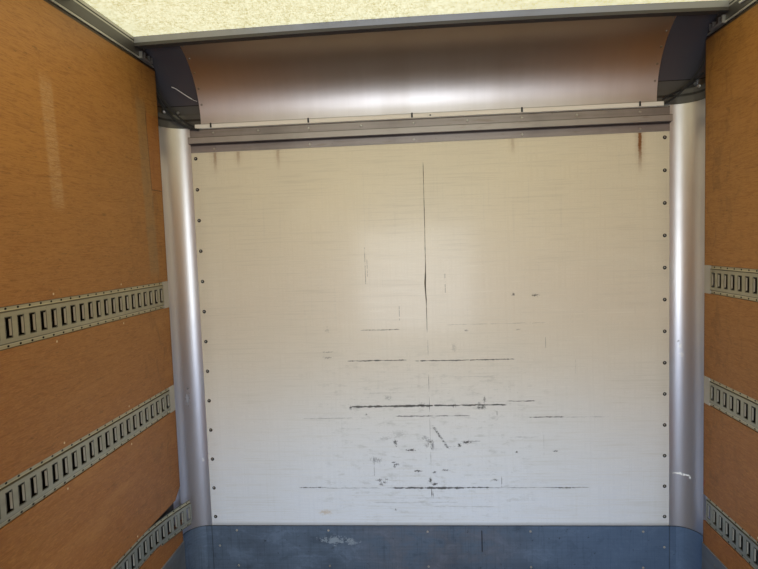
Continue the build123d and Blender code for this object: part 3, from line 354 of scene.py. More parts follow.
# Darker blots: x, height over the floor, half width, half height, strength
BLOTS = (
    (-0.180, 0.679, 0.008, 0.016, 0.95), (-0.105, 0.640, 0.026, 0.006, 1.0), (0.137, 0.662, 0.008, 0.010, 0.9),
    (0.172, 0.677, 0.024, 0.007, 1.0), (0.215, 0.682, 0.030, 0.003, 0.55), (0.095, 0.657, 0.034, 0.003, 0.4),
    (-0.192, 0.578, 0.010, 0.005, 0.8), (-0.176, 0.567, 0.012, 0.005, 0.8), (-0.188, 0.556, 0.006, 0.008, 0.7),
    (-0.073, 0.533, 0.017, 0.005, 1.0), (-0.012, 0.484, 0.007, 0.016, 0.95), (0.010, 0.467, 0.013, 0.008, 1.0),
    (0.008, 0.525, 0.010, 0.005, 0.85), (0.066, 0.537, 0.022, 0.005, 0.65), (0.000, 0.412, 0.003, 0.014, 0.8),
    (-0.280, 0.591, 0.030, 0.014, 0.5), (-0.264, 0.488, 0.016, 0.006, 0.7), (-0.243, 0.476, 0.018, 0.005, 0.75),
    (-0.257, 0.466, 0.010, 0.008, 0.65), (-0.231, 0.492, 0.010, 0.005, 0.6), (0.306, 0.485, 0.015, 0.005, 0.85),
    (0.601, 0.629, 0.015, 0.004, 0.95), (0.245, 0.850, 0.026, 0.008, 0.75), (0.262, 0.889, 0.009, 0.014, 0.6),
    (0.238, 0.872, 0.010, 0.008, 0.5), (0.118, 0.862, 0.012, 0.007, 0.9), (-0.045, 0.865, 0.014, 0.014, 0.5),
    (-0.398, 0.857, 0.006, 0.009, 0.95), (-0.320, 0.823, 0.005, 0.005, 0.8), (0.414, 0.625, 0.005, 0.006, 0.9),
    (-0.032, 0.702, 0.016, 0.012, 0.5), (-0.012, 0.683, 0.014, 0.010, 0.55), (-0.025, 0.664, 0.010, 0.012, 0.5),
    (0.002, 0.660, 0.010, 0.024, 0.6), (-0.160, 0.720, 0.034, 0.020, 0.35), (-0.230, 0.700, 0.030, 0.010, 0.35),
    (-0.210, 0.905, 0.014, 0.012, 0.4), (0.410, 1.403, 0.007, 0.006, 0.75), (0.515, 1.396, 0.018, 0.006, 0.8),
    (0.183, 1.232, 0.009, 0.005, 0.6), (0.430, 1.232, 0.012, 0.004, 0.5), (-0.500, 1.140, 0.026, 0.004, 0.5),
    (-0.505, 1.112, 0.022, 0.005, 0.55), (-0.190, 0.335, 0.006, 0.005, 0.8), (0.120, 1.150, 0.012, 0.022, 0.35),
    (-0.500, 1.250, 0.012, 0.014, 0.35),
)
# Upright scratches: x, bottom, top, strength
SCRATCHES = (
    (0.322, 0.78, 0.84, 0.7), (0.338, 0.44, 0.51, 0.7), (0.086, 1.41, 1.52, 0.6), (-0.300, 1.46, 1.66, 0.6),
    (-0.290, 1.50, 1.60, 0.5), (-0.140, 1.28, 1.37, 0.6), (0.560, 1.13, 1.20, 0.5), (-0.290, 0.50, 0.62, 0.5),
    (0.700, 1.00, 1.09, 0.3), (0.545, 0.60, 0.72, 0.3),
)
# Brown runs under the header: x, top, bottom, strength
RUNS = (
    (1.004, 2.128, 1.93, 0.95), (-1.019, 2.125, 2.02, 0.45), (-0.903, 2.128, 2.05, 0.35),
    (-0.705, 2.128, 2.02, 0.35), (0.42, 2.12, 2.05, 0.25),
)


def panel_finish(name, color):
    """Cream enamel with a woven, brushed look, scuffed by loads where they meet it."""
    paint = Finish(name, color, 0.15, Coat_Weight=0.25, Coat_Roughness=0.10)
    cloud = paint.noise((2.1, 1, 1.6), 4, 0.55, shift=(4, 0, 2))
    brushed = paint.noise((2.6, 1, 110), 5, 0.7)
    upright = paint.noise((80, 1, 2.2), 4, 0.65, shift=(7, 1, 1))
    ragged = paint.noise((34, 1, 60), 5, 0.7, 0.5)
    torn = paint.noise((105, 1, 120), 4, 0.8, 0.6, shift=(6, 3, 2))
    thick = paint.noise((24, 1, 30), 4, 0.75, shift=(3, 1, 7))
    # Painted light: bluish near the floor, as if lit by daylight from the doorway, golden and lighter towards the roof,
    # as if lit by its glow
    lower = paint.rise(0.25, 1.30)
    painted_daylight_tint, painted_roof_light_tint, high = paint.shade(0.92, 1.0, 1.26), paint.shade(0.97, 0.91, 0.86), paint.shade(1.03, 1.0, 0.90)
    paint.tone = paint.mix(lower, painted_daylight_tint, paint.mix(paint.rise(1.3, 2.0), painted_roof_light_tint, high))
    paint.wash(cloud, 0.4, 0.75, 0.20, paint.shade(0.72))
    paint.wash(brushed, 0.46, 0.66, 0.26, paint.shade(0.60, 0.57, 0.52))
    paint.wash(brushed, 0.44, 0.30, 0.30, paint.shade(1.22))
    paint.wash(upright, 0.54, 0.72, 0.16, paint.shade(0.58))
    wobble = (ragged - 0.5) * 0.008
    marks = 0.0
    for start, end, height, half, strength in SCUFFS:
        across = paint.band(paint.x, (start + end) / 2, (end - start) / 2 - 0.012, 0.024)
        away = abs(paint.z - (FLOOR + height) + wobble) - (thick - 0.42) * half * 5
        marks = marks + paint.smooth(away, half * 0.8, 0.0) * across * strength
    for x, bottom, top, strength in SCRATCHES:
        reach = paint.spot(x, (bottom + top) / 2, 0.0004, (top - bottom) / 2 - 0.01, 0.0022, wobble * 0.3)
        marks = marks + reach * strength * paint.smooth(thick, 0.38, 0.5)
    slant = paint.line(paint.x - (FLOOR + 0.767 - paint.z) * 0.63 + wobble, 0.004, 0.0080)
    slant = slant * paint.belt(0.705, 0.05, 0.02)
    marks = marks + slant * paint.smooth(torn, 0.42, 0.58) * 0.8
    blots = 0.0
    for x, height, half_x, half_z, strength in BLOTS:
        blots = blots + paint.blot(x, height, half_x, half_z, torn) * strength
    fleck = paint.smooth(paint.noise((60, 1, 150), 5, 0.75, shift=(9, 2, 5)), 0.62, 0.70)
    heart = paint.spot(-0.03, 0.66, 0.34, 0.20, 0.42)
    smudge = paint.smooth(paint.noise((12, 1, 34), 5, 0.7, shift=(5, 5, 5)), 0.52, 0.68)
    paint.lay(smudge * heart * 0.34, paint.shade(0.42))
    paint.lay(fleck * heart * 0.85, paint.shade(0.22))
    paint.wash(marks, 0.02, 0.85, 0.90, (0.034, 0.030, 0.028))
    paint.wash(blots, 0.05, 0.95, 0.90, (0.030, 0.026, 0.025))
    for x, top, bottom, strength in RUNS:
        fade = paint.rise(bottom, top)
        drip = paint.line(paint.x + (ragged - 0.5) * 0.014, x, 0.008) * fade * paint.rise(2.142, 2.136)
        halo = paint.line(paint.x + (ragged - 0.5) * 0.03, x, 0.024) * fade
        paint.lay(drip * strength + halo * strength * 0.25, (0.22, 0.095, 0.035))
    rust = paint.blot(-0.545, 0.322, 0.030, 0.012, torn)
    paint.lay(rust * 0.45, (0.42, 0.26, 0.10))
    paint.lay(paint.rise(0.275, 0.254) * 0.5, (0.12, 0.11, 0.10))
    sides = paint.smooth(abs(paint.x), 1.05, 1.137)
    paint.lay(sides * cloud * 0.3, (0.30, 0.24, 0.16))
    paint.set(Roughness=0.12 + cloud * 0.10 + brushed * 0.16 + upright * 0.06 + marks * 0.3)
    paint.bump(brushed + upright * 0.6 + cloud * 0.5, 0.14, 0.0016)
    return paint


def metal_finish(
    name, color, roughness, grain, metallic=1.0, dirt=0.25, dark=(0.05, 0.045, 0.04), depth=0.15, contrast=0.35
):
    """Mill-finished or plated metal, with its grain along the axis whose scale is low."""
    metal = Finish(name, color, roughness, metallic)
    metal.streak = metal.noise(grain, 4, 0.6)
    metal.cloud = metal.noise((3.1, 2.3, 2.7), 4, 0.6, shift=(5, 2, 8))
    speck = metal.smooth(metal.noise(60, 3, 0.6), 0.66, 0.76)
    metal.lay(metal.smooth(metal.streak, 0.3, 0.7) * contrast, metal.shade(0.72))
    metal.lay(metal.smooth(metal.cloud, 0.45, 0.75) * dirt, dark)
    metal.lay(speck * dirt * 0.8, dark)
    metal.set(Roughness=roughness + (metal.streak - 0.5) * contrast * 0.45 + metal.cloud * 0.1)
    metal.bump(metal.streak, depth, 0.0006)
    return metal


CHALK, PALE = (0.9, 0.9, 0.88), (0.85, 0.85, 0.85)
# Marks on the corner posts: x, height over the floor, half width, half height, colour, strength
POST_MARKS = (
    (-1.213, 0.975, 0.004, 0.007, (0.03, 0.03, 0.035), 0.9), (-1.217, 0.920, 0.008, 0.030, (0.13, 0.13, 0.15), 0.6),
    (1.184, 1.135, 0.007, 0.012, PALE, 0.6), (1.190, 1.095, 0.009, 0.010, PALE, 0.6),
    (1.176, 1.160, 0.005, 0.006, (0.08, 0.08, 0.10), 0.5), (1.166, 1.259, 0.004, 0.010, PALE, 0.4),
    (1.178, 0.516, 0.026, 0.004, CHALK, 1.0), (1.205, 0.513, 0.014, 0.004, CHALK, 1.0),
    (1.220, 0.507, 0.004, 0.007, CHALK, 0.7), (-1.165, 0.600, 0.005, 0.012, CHALK, 0.5),
)


def post_finish(name, color):
    """Satin extrusion with rubbed marks; a painted reflection of daylight makes its inner faces bluer and darker low
    down.
    """
    metal = metal_finish(name, color, 0.33, (130, 130, 0.8), 0.90, 0.08, depth=0.02, contrast=0.10)
    low = metal.rise(1.55, 0.85)
    inside = metal.smooth(abs(metal.x), WALL_X + 0.012, WALL_X + 0.006)
    inside = inside * metal.smooth(metal.y, PANEL_Y + 0.012, PANEL_Y + 0.007)
    # Painted reflection of the daylight: the inner faces turn bluer and darker towards the floor
    metal.lay(low * inside * 0.75, (0.52, 0.57, 0.74))
    metal.wash(inside, 0.5, 0.0, 0.5, (0.58, 0.58, 0.57))
    ragged = metal.noise(120, 4, 0.7)
    pale = 0.0
    for x, height, half_x, half_z, mark_color, strength in POST_MARKS:
        mark = metal.blot(x, height, half_x, half_z, ragged) * strength
        metal.lay(mark, mark_color)
        pale = pale + mark
    metal.set(Metallic=0.90 - metal.smooth(pale, 0.1, 0.9) * 0.9)
    return metal


def header_finish(name, color):
    """Header rail, with painted shade lines where its raised face meets the upper flange, under that face and under the
    strip, and a painted highlight on that face.
    """
    metal = metal_finish(name, color, 0.36, (1.5, 90, 120), 0.7, 0.3)
    # Painted shade lines: at the top of the raised face, under it, and under the strip
    fold_shade_line = metal.level(2.2105, 0.0024)
    foot = metal.level(2.1770, 0.0040)
    rim = metal.rise(2.2475, 2.2510)
    # Painted highlight on the raised face
    face = metal.belt(2.1965, 0.0125, 0.004)
    metal.lay(face * 0.35, (0.58, 0.55, 0.52))
    stain = metal.smooth(metal.noise((9, 30, 60), 4, 0.6, shift=(2, 2, 7)), 0.56, 0.72)
    metal.lay(stain * 0.35, (0.22, 0.16, 0.11))
    metal.lay(fold_shade_line * 0.7 + foot * 0.8 + rim * 0.8, (0.04, 0.03, 0.03))
    return metal


def nose_finish(name, color):
    """Satin rolled sheet, browner towards its top, a painted reflection of the plywood walls, with the pale flat strip
    along its foot and a painted shade line above that strip.
    """
    metal = metal_finish(name, color, 0.35, (26, 1, 1), 1.0, 0.06, depth=0.0, contrast=0.12)
    wide = metal.noise((5, 0.6, 0.6), 3, 0.5, shift=(1, 4, 6))
    upper = metal.rise(2.40, 2.58)
    metal.wash(wide, 0.4, 0.7, 0.25, (0.46, 0.40, 0.35))
    # Painted reflection of the plywood walls: browner towards the top
    metal.lay(upper * 0.85, (0.44, 0.335, 0.26))
    foot = metal.rise(2.2790, 2.2770)
    edge = metal.level(2.2785, 0.0022) * 0.6
    metal.lay(foot, metal.mix(metal.cloud * 0.4, (0.86, 0.83, 0.78), (0.72, 0.66, 0.56)))
    # Painted shade line where the flat strip meets the curved sheet
    metal.lay(edge, (0.12, 0.09, 0.06))
    metal.set(Metallic=1 - foot, Roughness=0.35 + metal.streak * 0.02 + metal.cloud * 0.03 + foot * 0.1)
    return metal


def roof_rail_finish(name, color):
    """Smooth rail at the roof's front edge, with painted shade: greyer towards its ends and a dark band along its lower
    side.
    """
    metal = metal_finish(name, color, 0.40, (1.4, 60, 60), 0.45, 0.12, contrast=0.12, depth=0.03)
    arch = metal.z + metal.x * metal.x * ROOF_FALL
    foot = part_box("roof_front_rail")[0].z + ROOF_FALL * HALF_X * HALF_X
    lower = metal.smooth(arch, foot + 0.0135, foot + 0.0115)
    # Painted shade: the rail turns grey towards its ends
    ends = metal.band(metal.x, 0.1, 0.45, 0.7)
    metal.tone = metal.mix(ends, (0.33, 0.325, 0.33), metal.tone)
    # Painted shade: a dark band along the rail's lower side
    metal.lay(lower * 0.88, (0.055, 0.045, 0.035))
    return metal


def top_rail_finish(name, color):
    """Side rail of the roof, with painted shade: a dark band on its inner face between its bright lower edge and upper
    bead, and dark lines at its lower crease and near the bead.
    """
    metal = metal_finish(name, color, 0.40, (90, 1.4, 90), 0.6, 0.25)
    inside = metal.smooth(abs(metal.x), FACE_X + 0.004, FACE_X + 0.002)
    # Painted shade on the inner face: a dark band, and dark lines at the lower crease and near the bead
    painted_shade_band = metal.belt(2.5575, 0.0220, 0.0015) * inside
    painted_seam_shade = metal.level(2.590, 0.0034) * inside
    fold_shade_line = metal.level(2.5365, 0.0016) * inside
    metal.lay(painted_shade_band * 0.88, (0.075, 0.068, 0.066))
    metal.lay(painted_seam_shade + fold_shade_line * 0.7, (0.010, 0.009, 0.008))
    return metal


def track_finish(name, color, centre, start, pitch, bent=False):
    """Zinc plated steel: small near-black fixing holes in its pale flanges; painted shade at its folds, its edges and
    round each slot; painted highlights; bluer low down, a painted light.
    """
    metal = metal_finish(name, color, 0.42, (30, 3, 40), 0.7, 0.3, (0.10, 0.085, 0.055))
    depth, height = WALL_X - abs(metal.x), metal.z - centre
    if bent:
        ahead = metal.y - PANEL_Y
        push = ahead.math("MAXIMUM", (ahead + BENT_PUSH_FROM) / (BENT_PUSH_FROM - BENT_END), 0.0)
        droop = ahead.math("MAXIMUM", (ahead + BENT_DROOP_FROM) / (BENT_DROOP_FROM - BENT_END), 0.0)
        depth, height = depth - push * push * BENT_PUSH, height + droop * BENT_DROOP
    along = ((start - metal.y) % pitch) - pitch / 2
    away = abs(height)
    across = away - 0.056
    holes = metal.smooth(((along * along) * 0.45 + across * across) ** 0.5, 0.0042, 0.0028)
    flange = metal.band(away, 0.0562, 0.0060, 0.0012)
    rim = metal.line(away, 0.0632, 0.0024)
    fold_shade_line = metal.line(away, 0.0478, 0.0026)
    glint = metal.line(away, 0.0508, 0.0018)
    middle = metal.smooth(away, 0.029, 0.027)
    face = metal.smooth(depth, 0.0102, 0.0106)
    slot_rim_shade = metal.smooth(abs(along), 0.0162, 0.0148) * metal.smooth(away, 0.0335, 0.0315) * face
    lip = metal.smooth(depth, 0.0104, 0.0096) * metal.smooth(depth, 0.0052, 0.0060)
    # Painted light: bluer towards the floor, as if lit by the daylight from the doorway
    metal.lay(metal.rise(1.2, 0.6) * 0.55, metal.shade(0.86, 0.98, 1.35))
    metal.lay(flange * 0.40, metal.shade(1.5, 1.45, 1.3))
    # Painted shade along the channel's edges, the flanges' outer edges and round each slot; painted highlights beside
    # the channel and on the slots' lips
    metal.lay(fold_shade_line * 0.75, (0.05, 0.042, 0.03))
    metal.lay(glint * 0.5, (0.85, 0.80, 0.55))
    metal.lay(rim * 0.85, (0.03, 0.025, 0.018))
    metal.lay(slot_rim_shade * 0.80, (0.035, 0.03, 0.022))
    metal.lay(lip * middle * 0.45, (0.66, 0.66, 0.62))
    # The fixing holes are painted near-black, for the shade inside them
    metal.lay(holes, (0.006, 0.006, 0.006))
    return metal


def kick_finish(name, color):
    """Scuffed steel sheet with fine scratches both ways, rusty in its middle and bluer at its right."""
    metal = metal_finish(name, color, 0.38, (3, 60, 150), 0.55, 0.35, (0.02, 0.022, 0.028), contrast=0.5)
    upright = metal.noise((170, 60, 5), 5, 0.7, shift=(2, 2, 2))
    patch = metal.noise((7, 7, 11), 6, 0.72, 0.4, shift=(4, 8, 1))
    fine = metal.noise((60, 60, 90), 4, 0.7, shift=(1, 1, 6))
    metal.wash(upright, 0.5, 0.68, 0.42, metal.shade(0.48))
    metal.wash(patch, 0.50, 0.68, 0.38, metal.shade(1.7))
    metal.wash(patch, 0.46, 0.34, 0.45, metal.shade(0.42))
    rusty = metal.spot(0.02, 0.16, 0.20, 0.10, 0.35) * metal.smooth(patch, 0.4, 0.6)
    metal.lay(rusty * 0.30, (0.17, 0.12, 0.10))
    blue = metal.smooth(metal.x, 0.2, 1.0) * metal.smooth(metal.y, PANEL_Y - 0.4, PANEL_Y - 0.1)
    metal.lay(blue * 0.40, metal.shade(0.95, 1.25, 1.65))
    scrape = metal.blot(-0.500, 0.178, 0.060, 0.020, fine) + metal.blot(-0.415, 0.168, 0.035, 0.014, fine) * 0.6
    metal.wash(scrape, 0.0, 1.0, 0.72, (0.40, 0.47, 0.55))
    joint = metal.line(metal.x, 0.235, 0.0030) * metal.belt(0.175, 0.05, 0.01)
    seams = metal.line(abs(metal.x), 1.137, 0.0030)
    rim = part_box("kick_plates")[1].z
    top = metal.smooth(metal.z, rim - 0.0035, rim - 0.0015)
    # Dark joints between the plates, and a painted shadow line along their top edge
    metal.lay(joint * 0.85 + seams * 0.45 + top * 0.7, (0.010, 0.010, 0.012))
    pits = metal.smooth(metal.noise(50, 4, 0.7, shift=(8, 3, 3)), 0.66, 0.70)
    metal.lay(pits * 0.6, (0.012, 0.013, 0.016))
    metal.set(Roughness=0.32 + patch * 0.22)
    return metal


def painted_finish(name, color, roughness, dirt):
    """Gel coat or paint with dust in the low places and a slight orange peel."""
    paint = Finish(name, color, roughness, Coat_Weight=0.2, Coat_Roughness=0.15)
    cloud = paint.noise((1.3, 0.9, 1.1), 4, 0.6)
    streak = paint.noise((9, 9, 0.6), 4, 0.6, shift=(2, 6, 3))
    peel = paint.noise(190, 2, 0.5)
    low = paint.rise(0.9, -0.1)
    paint.lay(paint.smooth(cloud, 0.4, 0.75) * dirt, paint.shade(0.75))
    paint.lay(paint.smooth(streak, 0.5, 0.75) * (0.1 + low * 0.5) * dirt * 2, (0.32, 0.29, 0.24))
    paint.set(Roughness=roughness + cloud * 0.12)
    paint.bump(peel, 0.06, 0.0008)
    return paint


def wall_finish(name, color):
    """White outer panel, with painted shade on its inside, which shows dark behind the tie rails' slots."""
    paint = painted_finish(name, color, 0.22, 0.16)
    inner = paint.smooth(abs(paint.x), WALL_X + 0.006, WALL_X + 0.003)
    # Painted shade: the inner face is near-black below the top tie rail, where it shows through the slots
    paint.lay(inner * paint.smooth(paint.z, 1.80, 1.78), (0.006, 0.005, 0.004))
    return paint


def chassis_finish(name, color):
    """Thick paint on rough steel, chipped to rust here and there."""
    paint = Finish(name, color, 0.45)
    cloud = paint.noise((5, 4, 5), 5, 0.65)
    chip = paint.smooth(paint.noise(38, 4, 0.7, shift=(6, 2, 2)), 0.63, 0.69)
    grit = paint.noise(240, 2, 0.6)
    paint.wash(cloud, 0.4, 0.7, 0.5, paint.shade(1.9))
    paint.lay(chip * 0.35, (0.16, 0.06, 0.025))
    paint.set(Roughness=0.45 + cloud * 0.2)
    paint.bump(grit + chip, 0.15, 0.0008)
    return paint


def plastic_finish(name, color, roughness, mottle):
    """Pebbled plastic or rubber with a film of dust."""
    skin = Finish(name, color, roughness)
    pebble = skin.noise(mottle, 3, 0.55)
    cloud = skin.noise(7, 4, 0.6)
    skin.wash(cloud, 0.45, 0.75, 0.35, (0.075, 0.08, 0.085))
    skin.set(Roughness=roughness + cloud * 0.16)
    skin.bump(pebble, 0.16, 0.0008)
    return skin


def cap_finish(name, color):
    """Charcoal plastic, lighter on the upright skirt below the moulded step, a painted light, with painted shade lines
    at the step and at its foot.
    """
    skin = plastic_finish(name, color, 0.16, 160)
    skirt = skin.rise(2.372, 2.368)
    step = skin.level(2.370, 0.0022)
    foot = skin.level(2.300, 0.0060)
    # Painted light on the skirt; painted shade lines at the step and along the foot, above the corner post
    skin.lay(skirt * 0.8, (0.095, 0.092, 0.080))
    skin.lay(step * 0.8 + foot * 0.7, (0.006, 0.006, 0.006))
    return skin


def roof_finish(name, color):
    """Glass fibre sheet whose underside has a painted glow, in place of the daylight through it, dusty on its upper
    face.
    """
    sheet = Finish(name, color, 0.45)
    fibres = sheet.noise((34, 70, 34), 5, 0.75, 1.5)
    cross = sheet.noise((80, 26, 34), 5, 0.75, 1.5, shift=(3, 3, 3))
    cloud = sheet.noise((1.4, 0.7, 1), 3, 0.5)
    facing = sheet.node("ShaderNodeSeparateXYZ", inputs={0: sheet.node("ShaderNodeNewGeometry", output=1)}, output=2)
    under = sheet.smooth(facing, -0.2, -0.6)
    web = sheet.smooth(fibres, 0.47, 0.58) * 0.5 + sheet.smooth(cross, 0.47, 0.58) * 0.5
    below = sheet.mix(web * 0.5 + cloud * 0.2, color, sheet.shade(0.78))
    dust = sheet.smooth(sheet.noise((2.2, 0.8, 1), 5, 0.65, shift=(4, 4, 1)), 0.42, 0.72)
    above = sheet.mix(web * 0.3 + dust * 0.36, (0.84, 0.84, 0.79), (0.56, 0.54, 0.47))
    sheet.set(Base_Color=sheet.mix(under, above, below))
    # Painted glow: the underside emits light, in place of daylight shining through the sheet
    glow = sheet.mix(web * 0.95 + cloud * 0.3, (1.0, 1.0, 0.72), (0.55, 0.50, 0.22))
    sheet.set(
        Emission_Color=sheet.mix(under, (0, 0, 0), glow), Emission_Strength=bpy.context.scene.cargo_light.roof_glow
    )
    sheet.bump(web, 0.15, 0.001)
    return sheet


def floor_finish(name, color):
    """Laminated hardwood in narrow staves, worn and scratched along the body."""
    wood = Finish(name, color, 0.6)
    grain = wood.noise((70, 2.2, 20), 5, 0.6, 0.5)
    staves = {"Scale": 1.0, "Mortar Size": 0.0012, "Brick Width": 0.42, "Row Height": 0.034}
    staves["Vector"] = wood.node("ShaderNodeCombineXYZ", inputs={0: wood.y, 1: wood.x})
    for socket, factor in (("Color1", 1), ("Color2", 0.66), ("Mortar", 0.25)):
        staves[socket] = (*wood.shade(factor), 1.0)
    wood.tone = wood.node("ShaderNodeTexBrick", {"offset": 0.5}, staves)
    wear = wood.noise((2.2, 0.9, 1), 5, 0.65)
    wood.wash(grain, 0.45, 0.7, 0.5, wood.shade(0.5))
    wood.wash(wear, 0.5, 0.72, 0.5, (0.30, 0.27, 0.23))
    scratch = wood.smooth(wood.noise((160, 1.6, 3), 3, 0.6, shift=(1, 9, 4)), 0.66, 0.72)
    wood.lay(scratch * 0.35, wood.shade(0.3))
    wood.set(Roughness=0.5 + wear * 0.25)
    wood.bump(grain, 0.3, 0.001)
    return wood


def lens_finish(name, color):
    """Clear coloured plastic with moulded ribs."""
    lens = Finish(name, color, 0.12, Coat_Weight=0.8, Coat_Roughness=0.05)
    ribs = lens.line(lens.x % 0.009, 0.0045, 0.0022)
    glint = lens.noise(300, 2, 0.5)
    lens.lay(ribs * 0.45 + glint * 0.15, lens.shade(0.35))
    lens.bump(ribs, 0.6, 0.001)
    return lens


def loom_finish(name, color):
    """Ribbed black conduit."""
    sleeve = Finish(name, color, 0.42)
    ridge = ((sleeve.z + sleeve.x * 0.6) % 0.0042) / 0.0042
    ring = sleeve.smooth(abs(ridge - 0.5), 0.1, 0.4)
    sleeve.lay(sleeve.noise(40, 3, 0.6) * 0.4, (0.05, 0.05, 0.05))
    sleeve.bump(ring, 0.7, 0.0012)
    return sleeve


# Each finish: its maker, its material's name, its colour or the setting that holds it, and more for the maker
FINISHES = {
    "plywood": (plywood_finish, "plywood", "plywood"),
    "panel": (panel_finish, "panel_enamel", "panel"),
    "post": (post_finish, "post_aluminium", (0.79, 0.785, 0.805)),
    "header": (header_finish, "header_aluminium", (0.36, 0.33, 0.33)),
    "nose": (nose_finish, "nose_aluminium", (0.72, 0.69, 0.69)),
    "rail": (metal_finish, "rail_aluminium", "aluminium", 0.36, (90, 1.4, 90), 1.0, 0.22),
    # The roof rail's bluish colour is a painted reflection of the daylight from the doorway
    "roof_rail": (roof_rail_finish, "roof_rail_aluminium", (0.32, 0.345, 0.47)),
    "top_rail": (top_rail_finish, "top_rail_aluminium", "aluminium"),
    "kick": (kick_finish, "kick_steel", "kick"),
    "cap": (cap_finish, "cap_plastic", "cap"),
    "wall": (wall_finish, "wall_white", "outside"),
    "floor": (floor_finish, "floor_wood", "floor"),
    "roof": (roof_finish, "roof_fibreglass", "roof"),
    "front_wall": (painted_finish, "front_wall_white", "outside", 0.22, 0.16),
    "door": (painted_finish, "door_white", "outside", 0.24, 0.16),
    "frame": (painted_finish, "frame_white", "outside", 0.32, 0.3),
    "ivory": (painted_finish, "ivory_strip", (0.40, 0.37, 0.31), 0.4, 0.4),
    "bow": (metal_finish, "bow_galvanised", (0.46, 0.46, 0.42), 0.45, 20, 0.8, 0.3),
    "scuff": (metal_finish, "scuff_galvanised", (0.40, 0.41, 0.42), 0.42, (14, 3, 40), 0.85, 0.4),
    "clip": (metal_finish, "clip_zinc", (0.62, 0.61, 0.60), 0.3, 60, 0.8, 0.2),
    "hinge": (metal_finish, "hinge_zinc", (0.50, 0.50, 0.48), 0.38, 60, 0.9, 0.35),
    "lock": (metal_finish, "lock_zinc", (0.56, 0.56, 0.55), 0.32, (90, 90, 2), 0.95, 0.3),
    "rivet": (metal_finish, "rivet_zinc", (0.42, 0.42, 0.40), 0.34, 200, 1.0, 0.2),
    "chassis": (chassis_finish, "sill_black", "chassis"),
    "rubber": (plastic_finish, "bumper_rubber", (0.018, 0.018, 0.018), 0.7, 90),
    "black_tab": (plastic_finish, "black_tab", (0.015, 0.015, 0.016), 0.45, 300),
    "crack": (plastic_finish, "crack_dark", (0.05, 0.035, 0.025), 0.8, 300),
    "screw_pale": (plastic_finish, "screw_pale", (0.62, 0.48, 0.30), 0.5, 300),
    "wire_white": (plastic_finish, "wire_white", (0.82, 0.82, 0.80), 0.4, 300),
    "sealant": (plastic_finish, "sealant_white", (0.80, 0.80, 0.76), 0.5, 60),
    "rear_lens": (lens_finish, "lamp_red", "rear_lens"),
    "front_lens": (lens_finish, "lamp_amber", "front_lens"),
    "loom": (loom_finish, "loom_black", (0.012, 0.012, 0.013)),
}
MADE = {}


def setting_color(name):
    """The colour that the user's settings hold."""
    return tuple(getattr(bpy.context.scene.cargo_colors, name))


def finish(name):
    """The named finish's material, made the first time that a piece asks for it."""
    if name not in MADE:
        maker, title, color, *more = FINISHES[name]
        if isinstance(color, str):
            color = setting_color(color)
        MADE[name] = maker(title, color, *more).material
    return MADE[name]


def coat(mesh, name):
    """Gives a mesh one finish."""
    mesh.materials.clear()
    mesh.materials.append(finish(name))


def dress(name, *nodes):
    """Gives the body's own pieces a finish."""
    for node in nodes:
        coat(NODES[node].data, name)


def sided(*stems):
    """The names of pieces that come in a left and a right one."""
    return [stem + "_" + side for stem in stems for side in SIDES]


def show(thing):
    """Links an object into the scene."""
    bpy.context.scene.collection.objects.link(thing)
    return thing


def plain_mesh(host):
    """A plain mesh of an object, as its modifiers or its bevel leave it."""
    return bpy.data.meshes.new_from_object(host.evaluated_get(bpy.context.evaluated_depsgraph_get()))


def meshed(name, work):
    """Ends a bmesh as a mesh, with its faces outwards."""
    bmesh.ops.recalc_face_normals(work, faces=work.faces)
    mesh = bpy.data.meshes.new(name)
    work.to_mesh(mesh)
    work.free()
    return mesh


def settle(name, mesh, slot, body=CARGO, *replaced):
    """Puts a finished mesh into the scene as a piece of that body."""
    piece = show(bpy.data.objects.new(name, mesh))
    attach(piece, body)
    if replaced:
        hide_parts(*replaced)
    return piece


def smooth_copy(node, name, slot, body=CARGO):
    """A merged copy of a curved piece with smooth shading between its facets, in place of it."""
    mesh = NODES[node].data.copy()
    work = bmesh.new()
    work.from_mesh(mesh)
    bmesh.ops.remove_doubles(work, verts=work.verts, dist=1e-6)
    sharp = math.radians(32)
    for face in work.faces:
        face.smooth = True
    for edge in work.edges:
        edge.smooth = len(edge.link_faces) == 2 and edge.calc_face_angle(0) < sharp
    work.to_mesh(mesh)
    work.free()
    if mesh.has_custom_normals:
        mesh.normals_split_custom_set([(0, 0, 0)] * len(mesh.loops))
    coat(mesh, name)
    return settle(node + "_surface", mesh, slot, body, node)


def new_tree(name, sockets):
    """A geometry tree with named inputs, and its group input node's outputs."""
    tree = bpy.data.node_groups.new(name, "GeometryNodeTree")
    for socket, kind in (("Geometry", "Geometry"), *sockets.items()):
        tree.interface.new_socket(socket, in_out="INPUT", socket_type="NodeSocket" + kind)
    tree.interface.new_socket("Geometry", in_out="OUTPUT", socket_type="NodeSocketGeometry")
    return tree, tree.nodes.new("NodeGroupInput").outputs


def end_tree(tree, geometry, material):
    """Ends a tree in real meshes with their material."""
    real = add_node(tree, "GeometryNodeRealizeInstances", inputs={0: geometry})
    joined = add_node(tree, "GeometryNodeMergeByDistance", inputs={"Geometry": real.outputs[0], "Distance": 1e-5})
    shown = add_node(tree, "GeometryNodeSetMaterial", inputs={"Geometry": joined.outputs[0], "Material": material})
    add_node(tree, "NodeGroupOutput", inputs={0: shown.outputs[0]})
    return tree


